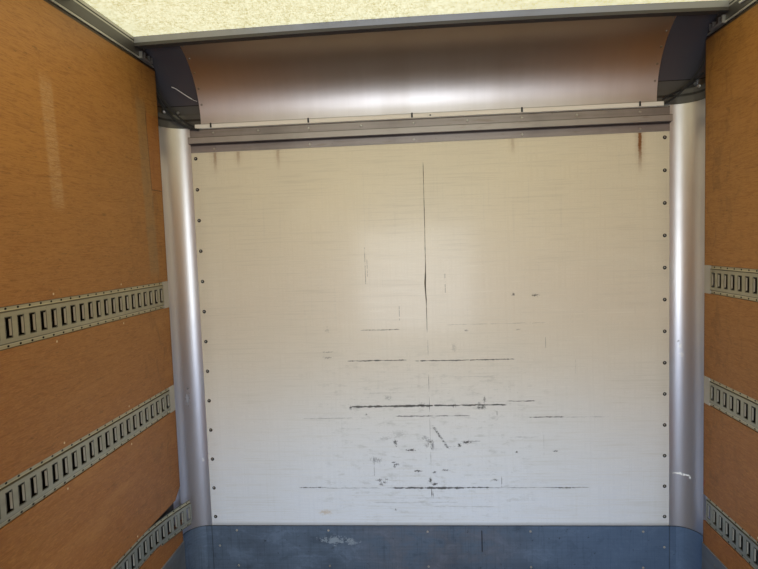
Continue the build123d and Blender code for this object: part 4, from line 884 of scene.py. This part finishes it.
def fastener_tree():
    """A low round head at every point, standing the way that the point faces."""
    tree, given = new_tree(
        "Fastener heads", {"Radius": "Float", "Height": "Float", "Top": "Float", "Material": "Material"}
    )
    top = add_node(tree, "ShaderNodeMath", {"operation": "MULTIPLY"}, {0: given["Radius"], 1: given["Top"]})
    sizes = {"Radius Top": top.outputs[0], "Radius Bottom": given["Radius"], "Depth": given["Height"]}
    head = add_node(tree, "GeometryNodeMeshCone", {"fill_type": "NGON"}, {"Vertices": 8, **sizes})
    facing = add_node(tree, "GeometryNodeInputNamedAttribute", {"data_type": "FLOAT_VECTOR"}, {"Name": "facing"})
    turned = add_node(tree, "FunctionNodeAlignRotationToVector", {"axis": "Z"}, {"Vector": facing.outputs[0]})
    placed = {"Points": given["Geometry"], "Instance": head.outputs["Mesh"], "Rotation": turned.outputs[0]}
    stood = add_node(tree, "GeometryNodeInstanceOnPoints", inputs=placed)
    return end_tree(tree, stood.outputs[0], given["Material"])


def row_tree():
    """Copies of a cell in a row, an equal step apart, joined where they meet."""
    tree, given = new_tree("Row of cells", {"Count": "Int", "Step": "Vector", "Material": "Material"})
    row = add_node(tree, "GeometryNodeMeshLine", {"mode": "OFFSET"}, {"Count": given["Count"], "Offset": given["Step"]})
    placed = {"Points": row.outputs[0], "Instance": given["Geometry"]}
    cells = add_node(tree, "GeometryNodeInstanceOnPoints", inputs=placed)
    return end_tree(tree, cells.outputs[0], given["Material"])


TREES = {}


def grown(source, maker, **values):
    """The mesh that a geometry tree makes of a source mesh with these inputs."""
    if maker not in TREES:
        TREES[maker] = maker()
    tree = TREES[maker]
    host = show(bpy.data.objects.new("grown", source))
    modifier = host.modifiers.new("Grown", "NODES")
    modifier.node_group = tree
    inputs = {item.name: item.identifier for item in tree.interface.items_tree if item.in_out == "INPUT"}
    for name, value in values.items():
        modifier[inputs[name]] = value
    mesh = plain_mesh(host)
    host.modifiers.clear()
    bpy.data.objects.remove(host)
    return mesh


def heads(way, places):
    """Places of fastener heads, with the way that they face."""
    return [(place, way) for place in places]


def fasteners(name, points, radius, height, finish_name, slot, top=0.62):
    """Heads at (place, facing) pairs, as one piece."""
    source = bpy.data.meshes.new(name)
    source.from_pydata([place for place, way in points], [], [])
    facing = source.attributes.new("facing", "FLOAT_VECTOR", "POINT")
    facing.data.foreach_set("vector", [part for place, way in points for part in way])
    mesh = grown(source, fastener_tree, Radius=radius, Height=height, Top=top, Material=finish(finish_name))
    return settle(name, mesh, slot)


def outer_rivets(name, points):
    """Rivets of the outer walls and rails, as one piece."""
    radius = bpy.context.scene.cargo_sizes.outer_rivet
    return fasteners(name, points, radius, OUTER_HEAD, "rivet", "rail_aluminium", top=0.5)


def solid(name, work, finish_name, slot):
    """Ends a bmesh as a piece with one finish."""
    mesh = meshed(name, work)
    coat(mesh, finish_name)
    return settle(name, mesh, slot)


def add_block(work, low, high, bevel):
    """Adds a block with bevelled edges to a bmesh."""
    low, high = Vector(low), Vector(high)
    made = bmesh.ops.create_cube(work, size=1.0)["verts"]
    for vert in made:
        vert.co = (low + high) / 2 + Vector([vert.co[i] * (high[i] - low[i]) for i in range(3)])
    edges = list({edge for vert in made for edge in vert.link_edges})
    bmesh.ops.bevel(work, geom=edges, offset=bevel, segments=1, affect="EDGES")


def add_sleeve(work, first, second):
    """Adds the faces between two rings of four points."""
    for i in range(4):
        j = (i + 1) % 4
        work.faces.new((first[i], first[j], second[j], second[i]))


def tube(name, points, radius, finish_name, slot):
    """A round wire, cable or bead along a smooth line through the points."""
    line = bpy.data.curves.new(name, "CURVE")
    line.dimensions = "3D"
    line.bevel_depth = radius
    line.bevel_resolution = 2
    line.resolution_u = 6
    line.use_fill_caps = True
    spline = line.splines.new("NURBS")
    spline.points.add(len(points) - 1)
    for point, place in zip(spline.points, points):
        point.co = (*place, 1.0)
    spline.order_u = 3
    spline.use_endpoint_u = True
    host = show(bpy.data.objects.new(name, line))
    mesh = plain_mesh(host)
    bpy.data.objects.remove(host)
    coat(mesh, finish_name)
    mesh.polygons.foreach_set("use_smooth", [True] * len(mesh.polygons))
    return settle(name, mesh, slot)


def steps(start, end, pitch):
    """Even places from start to end, about a pitch apart."""
    count = max(1, round(abs(end - start) / pitch))
    return [start + (end - start) * i / count for i in range(count + 1)]


class CARGO_OT_stage(bpy.types.Operator):
    """Camera, pale floor and soft light"""

    bl_idname = "cargo.stage"
    bl_label = "Stage"

    def execute(self, context):
        light = context.scene.cargo_light
        camera = show(bpy.data.objects.new("camera", bpy.data.cameras.new("camera")))
        context.scene.camera = camera
        camera.data.sensor_width = 36.0
        camera.data.lens = light.lens
        place, (yaw, pitch, roll) = (-0.0283, 1.1454, 1.8829), (0.0728, -0.0708, 0.0342)
        turn = Matrix.Rotation(yaw, 3, "Z") @ Matrix.Rotation(pitch, 3, "X") @ Matrix.Rotation(roll, 3, "Y")
        right, forward, up = turn.col[0], turn.col[1], turn.col[2]
        look = Matrix((right, up, -forward)).transposed().to_4x4()
        camera.matrix_world = Matrix.Translation(place) @ look
        context.scene.view_settings.view_transform = "Standard"
        self.floor()
        self.world(context, light.world)
        level, forwards = (0, 0, 0), (math.pi / 2, 0, 0)
        self.lamp("overhead", light.overhead, (1.0, 0.80, 0.52), (2.3, 6.6), (0, 0.2, FLOOR + 2.545), level)
        self.lamp("doorway", light.doorway, (0.86, 0.93, 1.0), (2.1, 1.9), (-0.16, -3.85, FLOOR + 0.98), forwards, True)
        self.lamp("low_fill", light.low_fill, (0.52, 0.74, 1.0), (2.3, 0.5), (0, 2.5, FLOOR + 0.28), forwards)
        sun = bpy.data.lights.new("soft_key", "SUN")
        sun.energy = 0.5
        sun.angle = math.radians(40)
        key = show(bpy.data.objects.new("soft_key", sun))
        key.rotation_euler = (math.radians(38), math.radians(14), math.radians(-35))
        return {"FINISHED"}

    def floor(self):
        """A wide pale floor, through which the body's underside can be seen from below."""
        size, white = 60, (0.86, 0.86, 0.85)
        floor = bpy.data.meshes.new("studio_floor")
        corners = [(-size, -size, 0), (size, -size, 0), (size, size, 0), (-size, size, 0)]
        floor.from_pydata(corners, [], [(0, 1, 2, 3)])
        ground = Finish("studio_floor", white, 0.7)
        ground.lay(ground.noise(0.4) * 0.1, (0.80, 0.80, 0.79))
        back = ground.node("ShaderNodeNewGeometry", output=6)
        clear = ground.node("ShaderNodeBsdfTransparent")
        blend = ground.node("ShaderNodeMixShader", inputs={0: back, 1: ground.shader.outputs[0], 2: clear})
        join(ground.tree, blend, ground.tree.nodes["Material Output"].inputs["Surface"])
        floor.materials.append(ground.material)
        show(bpy.data.objects.new("studio_floor", floor))

    def world(self, context, strength):
        """Even light from the sky, and a white background for the camera, metal and glass."""
        world = bpy.data.worlds.new("studio")
        context.scene.world = world
        world.use_nodes = True
        tree = world.node_tree
        sky = tree.nodes["Background"]
        sky.inputs["Color"].default_value = (0.97, 0.985, 1.0, 1.0)
        sky.inputs["Strength"].default_value = strength
        plain = add_node(tree, "ShaderNodeBackground", inputs={"Color": (1, 1, 1, 1), "Strength": 1.0})
        ray = add_node(tree, "ShaderNodeLightPath").outputs
        larger = {"operation": "MAXIMUM"}
        seen = add_node(tree, "ShaderNodeMath", larger, {0: ray["Is Camera Ray"], 1: ray["Is Glossy Ray"]})
        seen = add_node(tree, "ShaderNodeMath", larger, {0: seen.outputs[0], 1: ray["Is Transmission Ray"]})
        blend = {0: seen.outputs[0], 1: sky.outputs[0], 2: plain.outputs[0]}
        blend = add_node(tree, "ShaderNodeMixShader", inputs=blend)
        tree.links.new(blend.outputs[0], tree.nodes["World Output"].inputs["Surface"])

    def lamp(self, name, power, color, size, place, turn, in_gloss=False):
        """A rectangular lamp that the camera doesn't see."""
        data = bpy.data.lights.new(name, "AREA")
        data.shape = "RECTANGLE"
        data.size, data.size_y = size
        data.energy = power
        data.color = color
        lamp = show(bpy.data.objects.new(name, data))
        lamp.location = place
        lamp.rotation_euler = turn
        lamp.visible_camera = False
        lamp.visible_glossy = in_gloss


class CARGO_OT_side_walls(bpy.types.Operator):
    """Plywood lining with its nail heads, scuff plates and outer panels"""

    bl_idname = "cargo.side_walls"
    bl_label = "Side walls"

    def execute(self, context):
        dress("plywood", *sided("side_lining"))
        dress("scuff", *sided("scuff_plate"))
        dress("wall", *sided("side_wall"))
        dress("front_wall", "front_wall")
        rear, front = LINING_LOW.y, LINING_HIGH.y
        scuff_x = -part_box("scuff_plate_left")[1].x
        low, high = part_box("side_wall_left")
        nail_pitch, nails_off_rail = 0.436, 0.080
        screw_pitch, screw_heights = 0.30, (FLOOR + 0.045, FLOOR + 0.175)
        column_pitch, rail_row = 0.4064, TOP_RAIL_FOOT + 0.035
        nails, screws, rivets = [], [], []
        for sign in SIDES.values():
            inwards, outwards = (-sign, 0, 0), (sign, 0, 0)
            face, scuff, skin, rail = (sign * x for x in (FACE_X - SUNK, scuff_x, -low.x - SUNK, HALF_X - SUNK))
            for centre in RAIL_HEIGHTS:
                for z in (centre - nails_off_rail, centre + nails_off_rail):
                    nails += heads(inwards, [(face, y, z) for y in steps(front - 0.44, rear + 0.2, nail_pitch)])
            for y in steps(front - 0.12, rear + 0.12, screw_pitch):
                screws += heads(inwards, [(scuff, y, z) for z in screw_heights])
            for y in steps(low.y + 0.05, high.y - 0.05, FOOT_RIVET_PITCH):
                rivets += heads(outwards, [(rail, y, z) for z in (FLOOR + FOOT_RIVETS, rail_row)])
            heights = steps(FLOOR + WALL_RIVETS, TOP_RAIL_FOOT - 0.06, WALL_RIVET_PITCH)
            for y in steps(low.y + 0.2, high.y - 0.2, column_pitch):
                rivets += heads(outwards, [(skin, y, z) for z in heights])
        fasteners("lining_nails", nails, 0.0042, 0.0008, "screw_pale", "plywood")
        fasteners("scuff_screws", screws, 0.006, 0.0024, "rivet", "scuff_steel")
        outer_rivets("side_wall_rivets", rivets)
        return {"FINISHED"}


def slot_cell(sign, pitch, slot_width, slot_height):
    """One length of a tie rail with one slot: a folded sheet, with a lip down each long side of the slot."""
    near, far = (pitch - slot_width) / 2, (pitch + slot_width) / 2
    half = slot_height / 2
    upper = ((RAIL_CHANNEL - RAIL_SLOPE, RAIL_DEEP), (RAIL_CHANNEL, RAIL_SHALLOW), (RAIL_EDGE, RAIL_SHALLOW))
    lower = [(-height, depth) for height, depth in reversed(upper)]
    work = bmesh.new()

    def row(z, depth, *places):
        """Points at one height, that deep in front of the wall."""
        return [work.verts.new((sign * (WALL_X - depth), -y, z)) for y in places]

    sheets = []
    for back in (0.0, RAIL_STEEL):
        folds = [row(z, depth - back, 0, pitch) for z, depth in (*lower, *upper)]
        low, high = (row(z, RAIL_DEEP - back, 0, near, far, pitch) for z in (-half, half))
        for first, second in ((0, 1), (1, 2), (3, 4), (4, 5)):
            work.faces.new((*folds[first], *reversed(folds[second])))
        work.faces.new((*folds[2], *reversed(low)))
        work.faces.new((*high, *reversed(folds[3])))
        for left, right in ((0, 1), (2, 3)):
            work.faces.new((low[left], low[right], high[right], high[left]))
        sheets.append((folds, (low[1], low[2], high[2], high[1])))
    (front, mouth), (rear, rear_mouth) = sheets
    add_sleeve(work, mouth, rear_mouth)
    for rim in (0, -1):
        work.faces.new((*front[rim], *reversed(rear[rim])))
    for start, turn in ((near, 1), (far, -1)):
        run, inner, outer = (turn * part for part in (LIP_RUN, LIP_STEEL * 0.6, LIP_STEEL * 0.4))
        ends = []
        for z in (LIP_SHORT - half, half - LIP_SHORT):
            root = row(z, RAIL_DEEP - LIP_ROOT, start - inner, start + outer)
            ends.append(root + row(z, RAIL_DEEP - LIP_TIP, start + run + outer, start + run - inner))
        work.faces.new(ends[0])
        work.faces.new(ends[1])
        add_sleeve(work, *ends)
    return meshed("slot_cell", work)


class CARGO_OT_tie_rails(bpy.types.Operator):
    """Slotted tie rails along both side walls"""

    bl_idname = "cargo.tie_rails"
    bl_label = "Tie rails"

    def execute(self, context):
        for side, sign in SIDES.items():
            whole = bmesh.new()
            materials = []
            for row, centre in enumerate(RAIL_HEIGHTS):
                mesh, material = self.rail(context.scene.cargo_sizes, side, sign, row, centre)
                whole.from_mesh(mesh)
                materials.append(material)
            bmesh.ops.holes_fill(whole, edges=[edge for edge in whole.edges if edge.is_boundary], sides=0)
            mesh = meshed("slotted_rails_" + side, whole)
            for material in materials:
                mesh.materials.append(material)
            settle("slotted_rails_" + side, mesh, "track_steel", CARGO, "tie_rails_" + side)
        work = bmesh.new()
        for sign in SIDES.values():
            left, right = sorted((sign * (FACE_X - 0.0006), sign * (WALL_X - 0.0016)))
            for centre in RAIL_HEIGHTS[1:]:
                low, high = (left, PANEL_Y - 0.1495, centre - 0.063), (right, PANEL_Y - 0.098, centre + 0.063)
                add_block(work, low, high, 0.0004)
        solid("rail_end_strips", work, "ivory", "track_steel")
        return {"FINISHED"}

    def rail(self, sizes, side, sign, row, centre):
        """One rail's mesh, marked with its row's material, and that material."""
        bent = side == "left" and row == 0
        start = PANEL_Y - (RAIL_GAP if row else BENT_RAIL_GAP if bent else LOW_RAIL_GAP)
        count = round((start - RAIL_REAR) / sizes.slot_pitch)
        pitch = (start - RAIL_REAR) / count
        name = "track_zinc_{}_{}".format(side, row)
        material = track_finish(name, setting_color("track"), centre, start, pitch, bent).material
        cell = slot_cell(sign, pitch, sizes.slot_width, sizes.slot_height)
        mesh = grown(cell, row_tree, Count=count, Step=(0.0, -pitch, 0.0), Material=material)
        spots = np.empty(len(mesh.vertices) * 3)
        mesh.vertices.foreach_get("co", spots)
        spots = spots.reshape(-1, 3) + (0, start, centre)
        if bent:
            self.bend(spots)
        mesh.vertices.foreach_set("co", spots.ravel())
        mesh.polygons.foreach_set("material_index", [row] * len(mesh.polygons))
        return mesh, material

    def bend(self, spots):
        """Lets the damaged front end come off the wall and droop."""
        ahead = spots[:, 1] - PANEL_Y
        push = np.clip((ahead + BENT_PUSH_FROM) / (BENT_PUSH_FROM - BENT_END), 0, None)
        droop = np.clip((ahead + BENT_DROOP_FROM) / (BENT_DROOP_FROM - BENT_END), 0, None)
        spots[:, 0] += push * push * BENT_PUSH
        spots[:, 2] -= droop * BENT_DROOP


class CARGO_OT_front_panel(bpy.types.Operator):
    """Front panel with its rivets and the crack down its middle"""

    bl_idname = "cargo.front_panel"
    bl_label = "Front panel"

    def execute(self, context):
        sizes = context.scene.cargo_sizes
        dress("panel", "front_panel")
        count, top_rivet, rivet_x = 13, FLOOR + 2.1136, 1.116
        heights = [top_rivet - sizes.rivet_pitch * i for i in range(count)]
        places = [(sign * rivet_x, PANEL_Y, z) for sign in SIDES.values() for z in heights]
        rims = heads((0, -1, 0), places)
        fasteners("panel_rivets", rims, sizes.rivet * 1.6, 0.0014, "black_tab", "panel_white", top=0.9)
        pins = heads((0, -1, 0), [(x - 0.001, y - 0.0012, z + 0.001) for x, y, z in places])
        fasteners("panel_rivet_pins", pins, sizes.rivet * 0.62, 0.0016, "clip", "panel_white")
        self.crack()
        return {"FINISHED"}

    def crack(self):
        """A thin dark line with ragged edges, wider at one stretch and broken into short ones below."""
        rng = np.random.default_rng(7)
        work = bmesh.new()
        proud = 0.0004
        stretches = (
            (2.049, 1.225, 1.0), (1.19, 1.11, 0.6), (1.02, 0.93, 0.6), (0.905, 0.83, 0.7),
            (0.80, 0.66, 0.45), (0.63, 0.57, 0.45), (0.45, 0.398, 1.3),
        )
        for top, bottom, wide in stretches:
            heights = np.linspace(top, bottom, max(4, int((top - bottom) / 0.018)))
            middle = -0.004 - 0.003 * (2.049 - heights) / 1.665
            middle += np.interp(heights, [1.386, 1.459, 1.532], [0, -0.004, 0])
            middle += np.cumsum(rng.normal(0, 0.0004, heights.size)) * 0.3
            width = wide * (0.0007 + 0.0010 * rng.random(heights.size))
            width += np.interp(heights, [1.36, 1.40, 1.46, 1.52, 1.56], [0, 0.0012, 0.0021, 0.0012, 0])
            width[[0, -1]] *= 0.3
            rings = []
            for height, centre, half in zip(heights, middle, width):
                corners = ((-half, -proud), (half, -proud), (half, proud), (-half, proud))
                rings.append([work.verts.new((centre + dx, PANEL_Y + dy, FLOOR + height)) for dx, dy in corners])
            for upper, lower in zip(rings, rings[1:]):
                add_sleeve(work, upper, lower)
            work.faces.new(rings[0])
            work.faces.new(rings[-1])
        solid("panel_crack", work, "crack", "panel_white")


class CARGO_OT_kick_plates(bpy.types.Operator):
    """Kick plates at the foot of the front wall, with their screws"""

    bl_idname = "cargo.kick_plates"
    bl_label = "Kick plates"

    def execute(self, context):
        smooth_copy("kick_plates", "kick", "kick_steel")
        spots = [(-1.007, 0.441), (-0.534, 0.441), (0.473, 0.438), (1.013, 0.438)]
        spots += [(1.113, 0.360), (-1.1, 0.36), (-0.033, 0.436)]
        spots += [(x, 0.255) for x in (-1.007, -0.534, -0.033, 0.473, 1.013)]
        screws = heads((0, -1, 0), [(x, PANEL_Y - 0.005, z) for x, z in spots])
        fasteners("kick_screws", screws, 0.006, 0.0022, "clip", "kick_steel")
        return {"FINISHED"}


class CARGO_OT_corner_posts(bpy.types.Operator):
    """Coved corner posts beside the front panel"""

    bl_idname = "cargo.corner_posts"
    bl_label = "Corner posts"

    def execute(self, context):
        for post in sided("corner_post"):
            smooth_copy(post, "post", "post_aluminium")
        return {"FINISHED"}


class CARGO_OT_header(bpy.types.Operator):
    """Header rail over the front panel, with its rivets and small black tabs"""

    bl_idname = "cargo.header"
    bl_label = "Header rail"

    def execute(self, context):
        dress("header", "header_rail")
        face = PANEL_Y - 0.004
        upper = (-1.020, -0.796, -0.548, -0.295, -0.042, 0.211, 0.465, 0.717, 1.003)
        lower = (-1.017, -0.546, -0.044, 0.465, 1.003)
        upper_z, lower_z = FLOOR + 2.234, FLOOR + 2.157
        rows = [(x, face, upper_z) for x in upper] + [(x, face, lower_z) for x in lower]
        fasteners("header_rivets", heads((0, -1, 0), rows), 0.0066, 0.0026, "clip", "header_aluminium")
        work = bmesh.new()
        strip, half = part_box("nose_panel")[0].z, 0.004
        for x in (-1.030, -0.549, -0.050, 0.465, 1.003):
            add_block(work, (x - half, face - 0.004, strip + 0.002), (x + half, face, strip + 0.024), 0.001)
        add_block(work, (0.033, face - 0.003, strip + 0.006), (0.040, face, strip + 0.012), 0.001)
        solid("nose_tabs", work, "black_tab", "nose_aluminium")
        return {"FINISHED"}


# Wires and cables on the nose's caps: radius, finish, and the points of their line
CAP_WIRES = {
    "cap_wire_left": (0.0021, "wire_white", (
        (-1.198, 3.934, 2.664), (-1.184, 3.938, 2.660), (-1.160, 3.950, 2.642), (-1.132, 3.960, 2.622),
        (-1.114, 3.966, 2.611),
    )),
    "cap_wire_tail_left": (0.0010, "wire_white", (
        (-1.116, 3.9655, 2.612), (-1.104, 3.968, 2.604), (-1.090, 3.970, 2.600),
    )),
    "cap_cable_left": (0.0062, "loom", (
        (-1.264, 3.9145, 2.621), (-1.25, 3.9225, 2.585), (-1.227, 3.9325, 2.548), (-1.199, 3.9425, 2.515),
        (-1.17, 3.9525, 2.492), (-1.13, 3.9625, 2.468), (-1.088, 3.9695, 2.463),
    )),
    "cap_cable_right": (0.0045, "loom", (
        (1.266, 3.93, 2.60), (1.2405, 3.962, 2.568), (1.205, 3.966, 2.546), (1.167, 3.972, 2.5305),
        (1.135, 3.974, 2.516), (1.105, 3.9735, 2.500),
    )),
}


class CARGO_OT_nose(bpy.types.Operator):
    """Curved nose sheet, its corner caps, clips, conduits and the wires beside them"""

    bl_idname = "cargo.nose"
    bl_label = "Nose"

    def execute(self, context):
        smooth_copy("nose_panel", "nose", "nose_aluminium")
        for side in SIDES:
            smooth_copy("nose_cap_" + side, "cap", "cap_plastic")
            smooth_copy("wiring_loom_" + side, "loom", "loom_black")
        dress("clip", *sided("rail_clips"))
        axis_y, axis_z = PANEL_Y - NOSE_RADIUS, FLOOR + NOSE_AXIS
        rivets, rivet_x = [], 1.067
        for sign in SIDES.values():
            for angle in (16, 29, 42, 55, 68):
                way = (0, -math.cos(math.radians(angle)), -math.sin(math.radians(angle)))
                place = (sign * rivet_x, axis_y - NOSE_RADIUS * way[1], axis_z - NOSE_RADIUS * way[2])
                rivets.append((place, way))
        fasteners("nose_rivets", rivets, 0.006, 0.0026, "rivet", "nose_aluminium")
        bolts = [((-1.197, 3.9885, 2.554), (0, -0.98, -0.22)), ((-1.262, 3.9808, 2.5606), (0.4, -0.87, -0.2))]
        bolts += [((1.254, 3.9855, 2.5635), (0, -0.97, -0.25)), ((1.2425, 3.9222, 2.5385), (-0.9, -0.42, 0))]
        fasteners("cap_bolts", bolts, 0.0085, 0.004, "clip", "cap_plastic")
        for name, (radius, finish_name, points) in CAP_WIRES.items():
            tube(name, points, radius, finish_name, "loom_black")
        return {"FINISHED"}


class CARGO_OT_roof(bpy.types.Operator):
    """Roof sheet, bows, front rail and the rounded top rails"""

    bl_idname = "cargo.roof"
    bl_label = "Roof"

    def execute(self, context):
        dress("roof", "roof_sheet")
        dress("bow", "roof_bows")
        dress("roof_rail", "roof_front_rail")
        for rail in sided("top_rail"):
            smooth_copy(rail, "top_rail", "rail_aluminium")
        low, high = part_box("roof_front_rail")
        reach, pitch = 1.15, 0.12
        places = [(x, low.y + 0.02, high.z - ROOF_FALL * x * x - SUNK) for x in steps(-reach, reach, pitch)]
        rivets = heads((0, 0, 1), places)
        fasteners("roof_rail_rivets", rivets, 0.0065, OUTER_HEAD, "rivet", "rail_aluminium", top=0.5)
        bead = [(1.2475, y, z) for y, z in ((3.60, 2.775), (3.56, 2.772), (3.52, 2.776), (3.47, 2.773), (3.40, 2.774))]
        tube("rail_sealant", bead, 0.0045, "sealant", "rail_aluminium")
        return {"FINISHED"}


class CARGO_OT_rails(bpy.types.Operator):
    """Bottom rails round the foot of the walls"""

    bl_idname = "cargo.rails"
    bl_label = "Bottom rails"

    def execute(self, context):
        dress("rail", *sided("bottom_rail"), "front_bottom_rail")
        low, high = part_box("front_bottom_rail")
        face, top = high.y - SUNK, FLOOR + FOOT_RIVETS
        places = [(x, face, top) for x in steps(low.x + 0.05, high.x - 0.05, FOOT_RIVET_PITCH)]
        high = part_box("front_wall")[1]
        for x in (-1.12, -0.784, -0.392, 0.0, 0.392, 0.784, 1.12):
            heights = steps(FLOOR + WALL_RIVETS, high.z - 0.05, WALL_RIVET_PITCH)
            places += [(x, high.y - SUNK, z) for z in heights]
        outer_rivets("front_wall_rivets", heads((0, 1, 0), places))
        return {"FINISHED"}


class CARGO_OT_floor(bpy.types.Operator):
    """Floor boards with their screws, and the underframe"""

    bl_idname = "cargo.floor"
    bl_label = "Floor and underframe"

    def execute(self, context):
        dress("floor", "floor_boards")
        dress("chassis", *sided("long_sill"), "cross_members")
        low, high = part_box("floor_boards")
        pitch_x, pitch_y, sunk = 0.16, 0.406, 0.0006
        across = steps(low.x + 0.08, high.x - 0.08, pitch_x)
        screws = [(x, y, FLOOR - sunk) for y in steps(low.y + 0.2, high.y - 0.2, pitch_y) for x in across]
        fasteners("floor_screws", heads((0, 0, 1), screws), 0.0055, 0.0010, "rivet", "floor_wood")
        return {"FINISHED"}


class CARGO_OT_rear(bpy.types.Operator):
    """Rear frame, swing doors, hinges, lock rods and dock bumpers"""

    bl_idname = "cargo.rear"
    bl_label = "Rear frame and doors"

    def execute(self, context):
        dress("frame", "rear_sill", *sided("rear_post"), "rear_header")
        dress("rubber", "dock_bumpers")
        dress("lock", "keepers")
        dress("door", *sided("rear_door"))
        for side in SIDES:
            body = "rear_door_" + side
            smooth_copy("hinge_straps_" + side, "hinge", "hinge_steel", body)
            smooth_copy("hinge_butts_" + side, "hinge", "hinge_steel")
            smooth_copy("lock_rod_" + side, "lock", "lock_steel", body)
        return {"FINISHED"}


class CARGO_OT_lamps(bpy.types.Operator):
    """Marker lamps on the rear header and the nose"""

    bl_idname = "cargo.lamps"
    bl_label = "Marker lamps"

    def execute(self, context):
        smooth_copy("rear_lamps", "rear_lens", "lamp_red")
        smooth_copy("front_lamps", "front_lens", "lamp_amber")
        return {"FINISHED"}


OPERATORS = (
    CARGO_OT_stage,
    CARGO_OT_side_walls,
    CARGO_OT_tie_rails,
    CARGO_OT_front_panel,
    CARGO_OT_kick_plates,
    CARGO_OT_corner_posts,
    CARGO_OT_header,
    CARGO_OT_nose,
    CARGO_OT_roof,
    CARGO_OT_rails,
    CARGO_OT_floor,
    CARGO_OT_rear,
    CARGO_OT_lamps,
)


class CARGO_PT_pieces(bpy.types.Panel):
    """Lists the pieces of the cargo body"""

    bl_idname = "CARGO_PT_pieces"
    bl_label = "Cargo body"
    bl_space_type = "VIEW_3D"
    bl_region_type = "UI"
    bl_category = "Cargo body"

    def draw(self, context):
        for operator in OPERATORS:
            self.layout.operator(operator.bl_idname)


SETTINGS = {"cargo_colors": CargoColors, "cargo_sizes": CargoSizes, "cargo_light": CargoLight}
CLASSES = (*SETTINGS.values(), *OPERATORS, CARGO_PT_pieces)


def register():
    for kind in CLASSES:
        bpy.utils.register_class(kind)
    for name, group in SETTINGS.items():
        setattr(bpy.types.Scene, name, bpy.props.PointerProperty(type=group))


def unregister():
    for name in SETTINGS:
        delattr(bpy.types.Scene, name)
    for kind in reversed(CLASSES):
        bpy.utils.unregister_class(kind)


def main():
    register()
    for operator in OPERATORS:
        group, name = operator.bl_idname.split(".")
        getattr(getattr(bpy.ops, group), name)()


if __name__ == "__main__":
    main()
